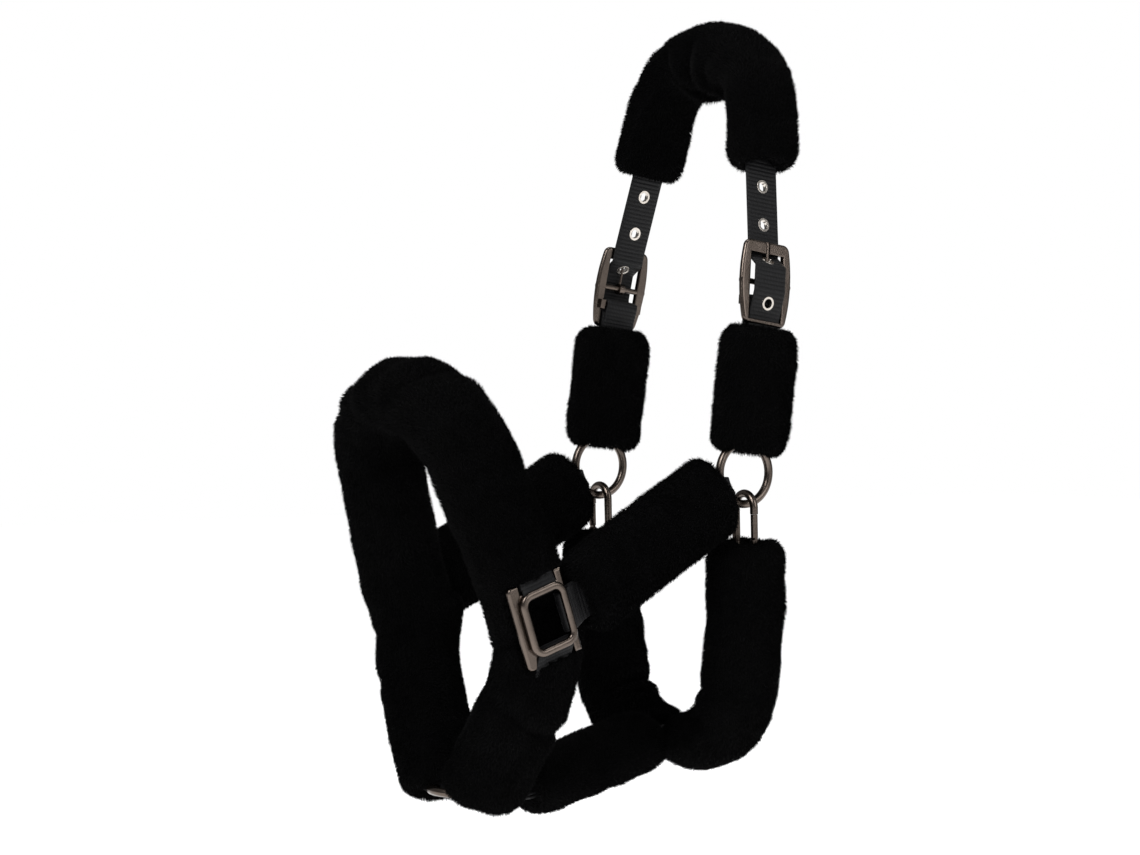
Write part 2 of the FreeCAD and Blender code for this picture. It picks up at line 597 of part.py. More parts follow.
chin_tube = tube([(nose_side, -24, 0), (bend.x, bend.y, 60), (stop.x, stop.y, 0)],
                 size("nose_half_wide"), size("nose_half_thick"))
chin_slot = band([(square_side, 8, 0)] + chin_path[1:], slot_single, slot_wide)
chin_lead_slot = band([(square_side, -2, 0), (square_side, 16, 0)], slot_double + 6, slot_wide)
square_pocket = moved(moved(pocket, nose_place), chin_place.inverse())
nose_solid = moved(moved(nose_tube, nose_place), chin_place.inverse())
chin_room = moved(
    ring_loop(ring_radius, wire_radius + 0.8, chin_neck, half_turn + 12, slot_wide),
    placed(V(0, chin_depth, 0), V(0, 1, 0), SIDE))
chin_sleeve = chin_tube.cut([chin_slot, chin_lead_slot, chin_room, square_pocket, nose_solid, chin_strap])
chin_sleeve = max(chin_sleeve.Solids, key=lambda solid: solid.Volume)
pairs.append(soft("near_chin_sleeve", chin_sleeve, chin_place))

# cheekpieces, which run from the cheek rings to the squares' rear rails

rail_middle = (size("square_window_wide") / 2
               + (size("square_wide") - size("square_window_wide") - size("square_front_rail")) / 2)
rail_centre = square_place.multVec(V(rail_middle, 0, 0))
cheekpiece_run = V(rail_centre - ring_centre)
cheekpiece_long = cheekpiece_run.Length
cheekpiece_place = placed(ring_centre, SIDE - cheekpiece_run * (SIDE.dot(cheekpiece_run) / cheekpiece_long ** 2),
                          cheekpiece_run)
to_cheekpiece = cheekpiece_place.inverse()
ring_eye = moved(
    moved(ring_loop(ring_radius, wire_radius, neck, half_turn, web_width),
          placed(ring_centre, SIDE, cheekpiece_run)),
    to_cheekpiece)
rail_eye = moved(
    moved(bar_loop(bore_radius, bar_neck, web_width), placed(rail_centre, SIDE, square_rear)), to_cheekpiece)
# the strap meets the rail at a slant, so its nearer corner sets where the doubled part stops
slant = square_rear.getAngle(cheekpiece_run * -1)
rail_clear = bore_radius + 1 + web_width / 2 * math.sin(slant)
cheekpiece_band = band([(0, ring_radius + 8, 0), (0, cheekpiece_long - rail_clear, 0)], double, web_width)
pairs.append(soft("near_cheekpiece_strap", as_one(cheekpiece_band, ring_eye, rail_eye), cheekpiece_place))

cheekpiece_tube = tube([(-2, size("cheekpiece_start"), 0), (-2, cheekpiece_long - size("cheekpiece_stop"), 0)],
                       size("cheek_half_wide"), size("cheek_half_thick"))
cheekpiece_slot = band([(0, 0, 0), (0, cheekpiece_long, 0)], slot_double, slot_wide)
eye_room = moved(
    moved(ring_loop(ring_radius, wire_radius + 0.8, neck, half_turn + 12, slot_wide),
          placed(ring_centre, SIDE, cheekpiece_run)), to_cheekpiece)
upper_cheek_room = moved(Part.makeTorus(ring_radius, wire_radius + 1.2, ring_centre, SIDE), to_cheekpiece)
throat_room = moved(
    moved(tube([(ring_spot.x, size("throat_sleeve_top") - 1.5, 0), (ring_spot.x, 120, 0)],
               size("cheek_half_wide") + 1, size("cheek_half_thick") + 1), throat_place), to_cheekpiece)
front_rooms = [
    moved(moved(nose_tube, nose_place), to_cheekpiece), moved(moved(chin_tube, chin_place), to_cheekpiece)]
cheekpiece_sleeve = cheekpiece_tube.cut(
    [cheekpiece_slot, eye_room, upper_cheek_room, throat_room] + front_rooms)
pairs.append(soft("near_cheekpiece_sleeve", cheekpiece_sleeve, cheekpiece_place))

# snap links

link_radius, link_wire = size("link_radius"), size("link_wire")
link_top = ring_radius - wire_radius - link_wire - size("link_hang")
high_centre = V(ring_spot.x, link_top + link_radius, 0)
low_centre = V(ring_spot.x, link_top + size("link_length") - link_radius, 0)
legs_long = low_centre.y - high_centre.y
arch_top = Part.makeTorus(link_radius, link_wire, high_centre, V(0, 0, 1))
arch_low = Part.makeTorus(link_radius, link_wire, low_centre, V(0, 0, 1))
above = Part.makeBox(60, 60, 20, high_centre - V(30, 60, 10))
below = Part.makeBox(60, 60, 20, low_centre - V(30, 0, 10))
legs = [Part.makeCylinder(link_wire, legs_long, high_centre + V(side * link_radius, 0, 0), V(0, 1, 0))
        for side in (-1, 1)]
gate_x = ring_spot.x + link_radius
gate_top, gate_pivot = size("gate_top"), size("gate_pivot")
gate_radius, blade = size("gate_radius"), size("gate_blade")
blade_long = 6
gate_long = gate_pivot - gate_top - 4.6
gate_gap = Part.makeBox(12, gate_pivot - 3.2 - gate_top + 0.3, 12, V(gate_x - 6, gate_top - 0.3, -6))
fork_slot = Part.makeBox(12, 8, blade + 0.2, V(gate_x - 6, gate_pivot - 4, -blade / 2 - 0.1))
pin_hole = Part.makeCylinder(size("gate_pin_radius"), 20, V(gate_x, gate_pivot, -10))
snap_body = as_one(arch_top.common(above), arch_low.common(below), *legs).cut([gate_gap, fork_slot, pin_hole])
pairs.append(soft("near_snap_body", snap_body, throat_place))

gate_bar = Part.makeCylinder(gate_radius, gate_long, V(gate_x, gate_top, 0), V(0, 1, 0))
blade_start = V(gate_x - gate_radius + 0.4, gate_pivot - blade_long, -blade / 2)
gate_blade = Part.makeBox(2 * gate_radius - 0.8, blade_long, blade, blade_start)
gate_eye = Part.makeCylinder(2, blade, V(gate_x, gate_pivot, -blade / 2))
gate_hole = Part.makeCylinder(size("gate_pin_radius") + 0.05, 20, V(gate_x, gate_pivot, -10))
pairs.append(soft("near_snap_gate", as_one(gate_bar, gate_blade, gate_eye).cut(gate_hole), throat_place))
gate_pin = Part.makeCylinder(
    size("gate_pin_radius"), 2 * link_wire - 0.4, V(gate_x, gate_pivot, 0.2 - link_wire))
pairs.append(soft("near_gate_pin", gate_pin, throat_place))

# throatlatch

throat_depth = size("throat_depth")
gather_wide = 9
link_eye = moved(
    ring_loop(link_radius, link_wire, 8, 26, gather_wide), placed(low_centre, V(0, 0, 1), V(0, 1, 0)))
gather_drop, gather_long = 6.5, 18
gather_top = low_centre.y + link_radius + gather_drop
gather_low = gather_top + gather_long


def level_frame(x, y, half_across, half_deep):
    corners = [V(x + i * half_across, y, k * half_deep) for i, k in ((-1, -1), (1, -1), (1, 1), (-1, 1))]
    return Part.makePolygon(corners + corners[:1])


gather = Part.makeLoft([
    level_frame(ring_spot.x, gather_top, gather_wide / 2, web_thick),
    level_frame(ring_spot.x, gather_low, web_thick / 2, web_width / 2)], True, True)
throat_bend = (size("throat_bend_side"), size("throat_bend"), 120)
throat_corner = (size("throat_corner"), throat_depth, size("throat_radius"))
throat_half = [(ring_spot.x, gather_low, 0), throat_bend, throat_corner, (0, throat_depth, 0)]
half_throat = as_one(link_eye, gather, band(throat_half, web_thick, web_width))
soft("throat_strap", as_one(half_throat, half_throat.mirror(ORIGIN, SIDE)), throat_place)

throat_path = [
    (ring_spot.x, size("throat_sleeve_top"), 0), throat_bend, throat_corner,
    (size("jaw_half_gap"), throat_depth, 0)]
throat_tube = tube(throat_path, size("cheek_half_wide"), size("cheek_half_thick"))
link_room = Part.makeBox(2 * (link_radius + link_wire) + 3, gather_top - 30, 14,
                         V(ring_spot.x - link_radius - link_wire - 1.5, 30, -7))
gather_room = Part.makeBox(gather_wide + 3, gather_low - gather_top + 12, slot_wide,
                           V(ring_spot.x - gather_wide / 2 - 1.5, gather_top - 9, -slot_wide / 2))
throat_slot = band(throat_half, slot_single, slot_wide)
pairs.append(soft("near_throat_sleeve", throat_tube.cut([link_room, gather_room, throat_slot]), throat_place))

# jaw strap, from the chin ring back to a loop about the throatlatch

jaw_back = chin_place.Rotation.multVec(V(0, 0, 1))
if jaw_back.y < 0:
    jaw_back = jaw_back * -1
jaw_place = placed(chin_ring_centre, chin_down * -1, jaw_back)
throat_low = throat_place.multVec(V(0, throat_depth, 0))
throat_normal = throat_place.Rotation.multVec(V(0, -1, 0))
loop_half_wide = web_width / 2 + 0.6
loop_half_high = web_thick / 2 + 0.6


def flat_ring(half_wide, half_high, width):
    """A rounded slot shape across local x, as wide as 2 * half_wide, extruded along local z."""
    core = Part.makeBox(2 * half_wide, 2 * half_high, width, V(-half_wide, -half_high, -width / 2))
    ends = [Part.makeCylinder(half_high, width, V(side * half_wide, 0, -width / 2)) for side in (-1, 1)]
    return as_one(core, *ends)


collar = flat_ring(loop_half_wide, loop_half_high + web_thick, web_width).cut(
    flat_ring(loop_half_wide, loop_half_high, web_width + 2))
jaw_rear = throat_normal.cross(SIDE)
collar_place = placed(throat_low, jaw_rear, throat_normal)
to_jaw = jaw_place.inverse()
collar = moved(moved(collar, collar_place), to_jaw)
collar_front = to_jaw.multVec(throat_low + V(0, -(loop_half_wide + loop_half_high + web_thick / 2), 0))
jaw_path = [(0, ring_radius + 8, 0), (0, size("jaw_bend"), size("jaw_radius")), (collar_front.x, collar_front.y, 0)]
jaw_eye = ring_loop(ring_radius, wire_radius, neck, half_turn, web_width)
soft("jaw_strap", as_one(band(jaw_path, double, web_width), jaw_eye, collar), jaw_place)

jaw_heading = V(collar_front.x, collar_front.y - size("jaw_bend"), 0).normalize()
jaw_first = V(0, size("jaw_bend"), 0) + jaw_heading * size("jaw_sleeve_after_bend")
jaw_stop = collar_front - jaw_heading * size("jaw_sleeve_before_loop")
jaw_sleeve_path = [(jaw_first.x, jaw_first.y, 0), (jaw_stop.x, jaw_stop.y, 0)]
jaw_tube = tube(jaw_sleeve_path, size("cheek_half_wide"), size("cheek_half_thick"))
jaw_slot = band(jaw_path, slot_double, slot_wide)
jaw_sleeve = jaw_tube.cut(jaw_slot)
soft("jaw_sleeve", jaw_sleeve, jaw_place)

# far side, checks and files

for piece in pairs:
    far_side(piece)
doc.recompute()

for item in doc.Objects:
    if "Invalid" in item.State or "Error" in item.State:
        raise RuntimeError(f"{item.Name} is {item.State}")
for piece in nodes:
    if piece.Shape.isNull() or not piece.Shape.isValid():
        raise RuntimeError(f"{piece.Label} has no valid shape")
os.makedirs("parts", exist_ok=True)
for piece in nodes:
    piece.Shape.exportStep(f"parts/{piece.Label}.step")
print(len(nodes), "sub-parts")
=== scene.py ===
import math

import bpy
import numpy as np
from mathutils import Matrix, Vector, noise


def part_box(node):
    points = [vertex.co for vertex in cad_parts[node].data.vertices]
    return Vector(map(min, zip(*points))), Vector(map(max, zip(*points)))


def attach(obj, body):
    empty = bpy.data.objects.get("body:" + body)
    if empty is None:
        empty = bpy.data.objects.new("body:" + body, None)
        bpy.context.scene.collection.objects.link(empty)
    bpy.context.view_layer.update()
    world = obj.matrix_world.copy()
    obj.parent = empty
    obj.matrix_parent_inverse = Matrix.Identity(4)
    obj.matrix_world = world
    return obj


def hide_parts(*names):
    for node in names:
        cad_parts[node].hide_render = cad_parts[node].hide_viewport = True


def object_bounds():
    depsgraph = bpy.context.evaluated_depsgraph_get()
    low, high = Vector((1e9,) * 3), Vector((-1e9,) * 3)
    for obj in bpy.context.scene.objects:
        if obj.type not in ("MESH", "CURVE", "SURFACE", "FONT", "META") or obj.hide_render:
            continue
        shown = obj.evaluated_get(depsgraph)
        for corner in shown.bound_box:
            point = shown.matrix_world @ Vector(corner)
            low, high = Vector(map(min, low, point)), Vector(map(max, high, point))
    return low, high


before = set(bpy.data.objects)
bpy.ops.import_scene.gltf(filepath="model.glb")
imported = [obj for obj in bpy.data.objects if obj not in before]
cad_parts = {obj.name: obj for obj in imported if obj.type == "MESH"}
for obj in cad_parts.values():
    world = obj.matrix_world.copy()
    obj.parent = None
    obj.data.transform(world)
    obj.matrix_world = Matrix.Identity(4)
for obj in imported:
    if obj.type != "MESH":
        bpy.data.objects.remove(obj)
cadLow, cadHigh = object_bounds()
scene = bpy.context.scene
mm = 0.001
side = Vector((1, 0, 0))
print("frame loaded")

# nodes as expressions, for shaders and geometry alike


class Term:
    def __init__(self, graph, socket):
        self.graph = graph
        self.socket = socket

    def other(self, name):
        return Term(self.graph, self.socket.node.outputs[name])

    def made(self, operation, *values):
        return self.graph.node("ShaderNodeMath", {"operation": operation}, dict(enumerate(values)))

    def __add__(self, value):
        return self.made("ADD", self, value)

    def __radd__(self, value):
        return self.made("ADD", value, self)

    def __sub__(self, value):
        return self.made("SUBTRACT", self, value)

    def __rsub__(self, value):
        return self.made("SUBTRACT", value, self)

    def __mul__(self, value):
        return self.made("MULTIPLY", self, value)

    def __rmul__(self, value):
        return self.made("MULTIPLY", value, self)

    def __truediv__(self, value):
        return self.made("DIVIDE", self, value)

    def __rtruediv__(self, value):
        return self.made("DIVIDE", value, self)

    def __pow__(self, value):
        return self.made("POWER", self, value)

    def sine(self):
        return self.made("SINE", self)

    def unsigned(self):
        return self.made("ABSOLUTE", self)

    def clamped(self):
        return self.made("MINIMUM", self.made("MAXIMUM", self, 0.0), 1.0)


class Graph:
    def __init__(self, tree):
        self.tree = tree

    def node(self, kind, settings=None, values=None, gives=0):
        made = self.tree.nodes.new(kind)
        for key, value in (settings or {}).items():
            setattr(made, key, value)
        for key, value in (values or {}).items():
            if isinstance(value, Term):
                self.tree.links.new(value.socket, made.inputs[key])
            else:
                made.inputs[key].default_value = value
        return Term(self, made.outputs[gives]) if len(made.outputs) else made

    def noiseAt(self, place, scale, detail=2.0, rough=0.5):
        return self.node("ShaderNodeTexNoise", {}, {
            "Vector": place, "Scale": scale, "Detail": detail, "Roughness": rough})

    def shade(self, factor, first, second):
        values = {0: factor, 6: first, 7: second}
        return self.node("ShaderNodeMix", {"data_type": "RGBA"}, values, gives=2)


def finish(name, paint):
    material = bpy.data.materials.new(name)
    material.use_nodes = True
    tree = material.node_tree
    shader = tree.nodes["Principled BSDF"]
    graph = Graph(tree)
    for socket, value in paint(graph).items():
        if isinstance(value, Term):
            tree.links.new(value.socket, shader.inputs[socket])
        else:
            shader.inputs[socket].default_value = value
    return material


def wovenBlack(graph):
    # ground is the webbing's own black; crown is a lighter colour for the rib crests, a painted highlight
    look = {"ground": (0.0008, 0.0008, 0.001, 1), "crown": (0.0068, 0.0068, 0.0076, 1),
            "pitch": 2.7, "endsAcross": 62.0, "fluff": 900.0}
    run = graph.node("ShaderNodeAttribute", {"attribute_name": "run"}, gives="Fac")
    across = graph.node("ShaderNodeAttribute", {"attribute_name": "across"}, gives="Fac")
    place = graph.node("ShaderNodeTexCoord", gives="Object")
    wave = (run * (math.pi / look["pitch"])).sine()
    rib = wave.unsigned() ** 0.8
    ends = (across * look["endsAcross"] + wave * 1.1).sine() * 0.5 + 0.5
    fluff = graph.noiseAt(place, look["fluff"], 2.0)
    # tone paints the rib crests lighter as a painted highlight, over the real weave ends and fluff
    tone = (rib * 0.72 + ends * 0.16 + fluff * 0.2 - 0.1).clamped()
    bump = graph.node("ShaderNodeBump", {}, {
        "Strength": 0.55, "Distance": 0.0004, "Height": ends * rib + fluff * 0.5})
    return {
        "Base Color": graph.shade(tone, look["ground"], look["crown"]), "Roughness": 0.62 - tone * 0.2,
        "Normal": bump, "Specular IOR Level": 0.16, "Sheen Weight": 0.02, "Sheen Roughness": 0.4}


def plushPile(graph):
    # the root colour is painted shade deep in the pile; the tip colour is the tuft's lighter tip
    look = {"root": (0.0005, 0.0005, 0.0006, 1), "tip": (0.0056, 0.0055, 0.0057, 1), "patches": 26.0}
    tip = graph.node("ShaderNodeAttribute", {"attribute_name": "tip"}, gives="Fac")
    tone = graph.node("ShaderNodeAttribute", {"attribute_name": "tone"}, gives="Fac")
    place = graph.node("ShaderNodeTexCoord", gives="Object")
    # large noise patches lighten the tuft tips as painted sheen
    patches = graph.noiseAt(place, look["patches"], 4.0, 0.62)
    # tufts are painted darker toward the root as painted shade, with a random tone per tuft
    light = (tip * (0.25 + tone * 0.5) + (patches - 0.47) * 2.6 * tip + 0.03).clamped()
    return {
        "Base Color": graph.shade(light, look["root"], look["tip"]), "Roughness": 0.82,
        "Sheen Weight": 0.009, "Sheen Roughness": 0.3, "Specular IOR Level": 0.035}


def castGunmetal(graph):
    look = {"low": (0.05, 0.04, 0.033, 1), "high": (0.155, 0.126, 0.108, 1),
            "cloud": 60.0, "grain": 1400.0, "marks": 260.0}
    place = graph.node("ShaderNodeTexCoord", gives="Object")
    cloud = graph.noiseAt(place, look["cloud"], 4.0)
    grain = graph.noiseAt(place, look["grain"], 3.0, 0.7)
    marks = graph.noiseAt(place, look["marks"], 5.0, 0.75)
    tone = (cloud * 0.9 + grain * 0.25 - 0.1).clamped()
    bump = graph.node("ShaderNodeBump", {}, {
        "Strength": 0.22, "Distance": 0.0003, "Height": grain + marks})
    return {
        "Base Color": graph.shade(tone, look["low"], look["high"]), "Metallic": 1.0,
        "Roughness": (0.13 + marks * 0.16 + cloud * 0.08).clamped(), "Normal": bump}


def brightNickel(graph):
    look = {"low": (0.42, 0.38, 0.34, 1), "high": (0.66, 0.62, 0.57, 1), "cloud": 120.0, "marks": 900.0}
    place = graph.node("ShaderNodeTexCoord", gives="Object")
    cloud = graph.noiseAt(place, look["cloud"], 3.0)
    marks = graph.noiseAt(place, look["marks"], 4.0, 0.7)
    bump = graph.node("ShaderNodeBump", {}, {"Strength": 0.12, "Distance": 0.0002, "Height": marks})
    return {
        "Base Color": graph.shade(cloud, look["low"], look["high"]), "Metallic": 1.0,
        "Roughness": (0.12 + marks * 0.16).clamped(), "Normal": bump}


webFinish = finish("blackWebbing", wovenBlack)
pileFinish = finish("blackPlush", plushPile)
gunFinish = finish("gunmetal", castGunmetal)
nickelFinish = finish("nickel", brightNickel)

# geometry trees


def geometryTree(name, inputs):
    tree = bpy.data.node_groups.new(name, "GeometryNodeTree")
    tree.interface.new_socket("Geometry", in_out="INPUT", socket_type="NodeSocketGeometry")
    for title, kind in inputs.items():
        tree.interface.new_socket(title, in_out="INPUT", socket_type=f"NodeSocket{kind}")
    tree.interface.new_socket("Geometry", in_out="OUTPUT", socket_type="NodeSocketGeometry")
    graph = Graph(tree)
    return tree, graph, graph.node("NodeGroupInput")


def closeTree(graph, shape, finishTerm):
    whole = graph.node("GeometryNodeRealizeInstances", {}, {"Geometry": shape})
    dressed = graph.node("GeometryNodeSetMaterial", {}, {"Geometry": whole, "Material": finishTerm})
    graph.node("NodeGroupOutput", {}, {"Geometry": dressed})


def grow(piece, tree, **values):
    modifier = piece.modifiers.new(tree.name, "NODES")
    modifier.node_group = tree
    for item in tree.interface.items_tree:
        if item.in_out == "INPUT" and item.name.replace(" ", "") in values:
            modifier[item.identifier] = values[item.name.replace(" ", "")]
    bpy.context.view_layer.update()
    shown = piece.evaluated_get(bpy.context.evaluated_depsgraph_get())
    made = bpy.data.meshes.new_from_object(shown)
    piece.modifiers.remove(modifier)
    while len(made.materials) and made.materials[0] is None:
        made.materials.pop(index=0)
    old = piece.data
    piece.data = made
    bpy.data.meshes.remove(old)
    return piece


def ribTree():
    tree, graph, given = geometryTree("webRibs", {
        "RibPitch": "Float", "RibHeight": "Float", "Finish": "Material"})
    run = graph.node("GeometryNodeInputNamedAttribute", {"data_type": "FLOAT"}, {"Name": "run"})
    face = graph.node("GeometryNodeInputNamedAttribute", {"data_type": "FLOAT"}, {"Name": "face"})
    wave = (run / given.other("RibPitch") * math.pi).sine().unsigned() ** 0.6
    rise = wave * given.other("RibHeight") * face
    outward = graph.node("GeometryNodeInputNormal")
    offset = graph.node("ShaderNodeVectorMath", {"operation": "SCALE"}, {"Vector": outward, "Scale": rise})
    shape = graph.node("GeometryNodeSetPosition", {}, {"Geometry": given, "Offset": offset})
    closeTree(graph, shape, given.other("Finish"))
    return tree


def pileTree():
    tree, graph, given = geometryTree("plushCover", {
        "TuftLength": "Float", "TuftWidth": "Float", "TuftsPerArea": "Float", "Lean": "Float",
        "ClumpSize": "Float", "Seed": "Int", "Finish": "Material"})
    spots = graph.node("GeometryNodeDistributePointsOnFaces", {}, {
        "Mesh": given, "Density": given.other("TuftsPerArea"), "Seed": given.other("Seed")})
    place = graph.node("GeometryNodeInputPosition")
    comb = graph.node("GeometryNodeInputNamedAttribute", {"data_type": "FLOAT_VECTOR"}, {"Name": "comb"})
    clumps = graph.node("ShaderNodeTexNoise", {}, {
        "Vector": place, "Scale": 1.0 / given.other("ClumpSize"), "Detail": 2.0}, gives="Color")
    strands = graph.node("FunctionNodeRandomValue", {"data_type": "FLOAT_VECTOR"}, {
        0: (-0.24, -0.24, -0.24), 1: (0.24, 0.24, 0.24), "Seed": given.other("Seed") + 1})

    def vectors(operation, first, second):
        key = "Scale" if operation == "SCALE" else 1
        return graph.node("ShaderNodeVectorMath", {"operation": operation}, {0: first, key: second})

    sway = vectors("SCALE", vectors("SUBTRACT", clumps, (0.5, 0.5, 0.5)), given.other("Lean"))
    heading = vectors("ADD", vectors("ADD", spots.other("Normal"), sway), vectors("ADD", comb, strands))
    turn = graph.node("FunctionNodeAlignRotationToVector", {"axis": "Z"}, {"Vector": heading})
    wobble = graph.node("FunctionNodeRandomValue", {"data_type": "FLOAT"}, {
        2: 0.55, 3: 1.2, "Seed": given.other("Seed") + 2}, gives=1)
    longer = (graph.node("ShaderNodeTexNoise", {}, {
        "Vector": place, "Scale": 0.45 / given.other("ClumpSize"), "Detail": 1.0}) * 0.9 + 0.55) * wobble
    scale = graph.node("ShaderNodeCombineXYZ", {}, {
        0: given.other("TuftWidth"), 1: given.other("TuftWidth"), 2: given.other("TuftLength") * longer})
    spike = graph.node("GeometryNodeMeshCone", {"fill_type": "NONE"}, {
        "Vertices": 3, "Side Segments": 1, "Radius Top": 0.0, "Radius Bottom": 1.0, "Depth": 1.0})
    height = graph.node("ShaderNodeSeparateXYZ", {}, {0: graph.node("GeometryNodeInputPosition")}, gives=2)
    spike = graph.node("GeometryNodeStoreNamedAttribute", {"data_type": "FLOAT"}, {
        "Geometry": spike, "Name": "tip", "Value": height.clamped()})
    tufts = graph.node("GeometryNodeInstanceOnPoints", {}, {
        "Points": spots, "Instance": spike, "Rotation": turn, "Scale": scale})
    tone = graph.node("FunctionNodeRandomValue", {"data_type": "FLOAT"}, {
        2: 0.0, 3: 1.0, "Seed": given.other("Seed") + 3}, gives=1)
    tufts = graph.node("GeometryNodeStoreNamedAttribute", {"data_type": "FLOAT", "domain": "INSTANCE"}, {
        "Geometry": tufts, "Name": "tone", "Value": tone})
    join = tree.nodes.new("GeometryNodeJoinGeometry")
    tree.links.new(tufts.socket, join.inputs[0])
    tree.links.new(given.socket, join.inputs[0])
    closeTree(graph, Term(graph, join.outputs[0]), given.other("Finish"))
    return tree


webRibs = ribTree()
plushCover = pileTree()
print("finishes and trees ready")

# places, in millimetres, as the frame has them


def plane(origin, across, along):
    x = Vector(across).normalized()
    y = (Vector(along) - x * x.dot(Vector(along))).normalized()
    z = x.cross(y)
    return Matrix((
        (x.x, y.x, z.x, origin[0]), (x.y, y.y, z.y, origin[1]), (x.z, y.z, z.z, origin[2]), (0, 0, 0, 1)))


def middle(node):
    low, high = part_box(node)
    return (low + high) / 2 / mm


def downward(lean):
    return Vector((0, -math.sin(math.radians(lean)), -math.cos(math.radians(lean))))


ringCentre = middle("near_cheek_ring")
chinRing = middle("chin_ring")
pinCentre = middle("near_buckle_pin")
ringRadius = 20.0
leans = {"crown": 8, "buckle": 6, "square": 18.5, "throat": -1.5}
crownPlane = plane((0, 0, 0), side, downward(leans["crown"]))
inCrownPlane = crownPlane.inverted()
ringSpot = (inCrownPlane @ ringCentre).to_2d()
pinSpot = (inCrownPlane @ pinCentre).to_2d()
tilt = math.radians(leans["buckle"])
buckleOut = Vector((math.cos(tilt), -math.sin(tilt)))
buckleUp = Vector((-math.sin(tilt), -math.cos(tilt)))
squareCentre = Vector((86, -195, -340))
leanAngle = math.radians(leans["square"])
noseUp = Vector((0, -math.sin(leanAngle), math.cos(leanAngle)))
squareRear = Vector((0, math.cos(leanAngle), math.sin(leanAngle)))
barHeight, railOut = 19.0, 16.25
noseMiddle = Vector((0, squareCentre.y, squareCentre.z))
nosePlane = plane(noseMiddle, side, noseUp)
chinStart = noseMiddle - noseUp * barHeight
chinDown = (chinRing - chinStart).normalized()
chinDepth = (chinRing - chinStart).length
chinPlane = plane(chinStart, side, chinDown)
throatPlane = plane((0, ringCentre.y, ringCentre.z), side, downward(leans["throat"]))
railCentre = squareCentre + squareRear * railOut
cheekRun = railCentre - ringCentre
cheekLong = cheekRun.length
cheekPlane = plane(ringCentre, side - cheekRun * (side.dot(cheekRun) / cheekLong ** 2), cheekRun)
jawBack = chinPlane.to_3x3() @ Vector((0, 0, 1))
jawBack = jawBack if jawBack.y > 0 else -jawBack
jawPlane = plane(chinRing, -chinDown, jawBack)


def onBuckle(outward, up):
    return pinSpot + buckleOut * outward + buckleUp * up


def bothWays(path):
    return path + [(-x, y, radius) for x, y, radius in reversed(path)]


def smooth(value):
    value = max(0.0, min(1.0, value))
    return value * value * (3 - 2 * value)


def corners(path):
    spots = [Vector(corner[:2]) for corner in path]
    heads = [(after - before).normalized() for before, after in zip(spots, spots[1:])]
    dense = [spots[0]]
    for i in range(1, len(spots) - 1):
        radius = path[i][2]
        turn = math.atan2(heads[i - 1].cross(heads[i]), heads[i - 1].dot(heads[i]))
        start = spots[i] - heads[i - 1] * (radius * math.tan(abs(turn) / 2))
        left = Vector((-heads[i - 1].y, heads[i - 1].x))
        centre = start + left * math.copysign(radius, turn)
        count = max(2, int(abs(turn) * radius / 0.5))
        dense += [centre + Matrix.Rotation(turn * k / count, 2) @ (start - centre) for k in range(count + 1)]
    return dense + [spots[-1]]


def evenly(dense, step):
    line = np.array([tuple(spot) for spot in dense])
    gaps = np.hypot(*np.diff(line, axis=0).T)
    keep = np.concatenate([[True], gaps > 1e-6])
    line = line[keep]
    run = np.concatenate([[0], np.cumsum(np.hypot(*np.diff(line, axis=0).T))])
    count = max(2, round(run[-1] / step))
    at = np.linspace(0, run[-1], count + 1)
    spots = np.stack([np.interp(at, run, line[:, k]) for k in (0, 1)], 1)
    heads = np.gradient(spots, axis=0)
    heads /= np.linalg.norm(heads, axis=1)[:, None]
    return spots, heads, at


def meshOf(name, points, faces, **attributes):
    mesh = bpy.data.meshes.new(name)
    mesh.from_pydata([tuple(point) for point in points], [], faces)
    for title, values in attributes.items():
        flat = np.asarray(values, np.float32)
        kind, field = ("FLOAT_VECTOR", "vector") if flat.ndim == 2 else ("FLOAT", "value")
        mesh.attributes.new(title, kind, "POINT").data.foreach_set(field, flat.ravel())
    mesh.polygons.foreach_set("use_smooth", [True] * len(mesh.polygons))
    mesh.update()
    piece = bpy.data.objects.new(name, mesh)
    scene.collection.objects.link(piece)
    return piece


def farTwin(piece, name):
    mesh = piece.data.copy()
    mesh.name = name
    mesh.transform(Matrix.Scale(-1, 4, side))
    mesh.flip_normals()
    twin = bpy.data.objects.new(name, mesh)
    scene.collection.objects.link(twin)
    return twin


def settle(piece, node, body):
    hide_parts(node)
    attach(piece, body)


def settlePair(near, node, body):
    far = farTwin(near, near.name.replace("near", "far"))
    settle(near, f"near_{node}", body)
    settle(far, f"far_{node}", body)


def inward(path):
    # the same path, begun at its inner end
    return path if path[0][0] <= path[-1][0] else path[::-1]


# webbing

webbing = {"wide": 25.0, "thick": 2.0, "ribPitch": 2.7, "ribHeight": 0.34, "step": 0.54, "gap": 0.12,
           "holeRadius": 3.75, "holeReach": 5.0}
# radius of an eye's middle line about each thing that a strap goes round
eyeOn = {"wire": 4.15, "bar": 3.3, "rail": 3.9, "strapBar": 2.9, "link": 3.9}
necks = {"wire": 13, "strapBar": 10, "rail": 10, "noseBar": 9, "chinBar": 9, "chinWire": 9, "link": 9}
bandSection = [(-1.0, 0.0), (-0.985, 0.62), (-0.93, 1.0), (-0.62, 1.0), (-0.2, 1.0), (0.2, 1.0), (0.62, 1.0),
               (0.93, 1.0), (0.985, 0.62), (1.0, 0.0)]
bandSection += [(across, -depth) for across, depth in reversed(bandSection[1:-1])]


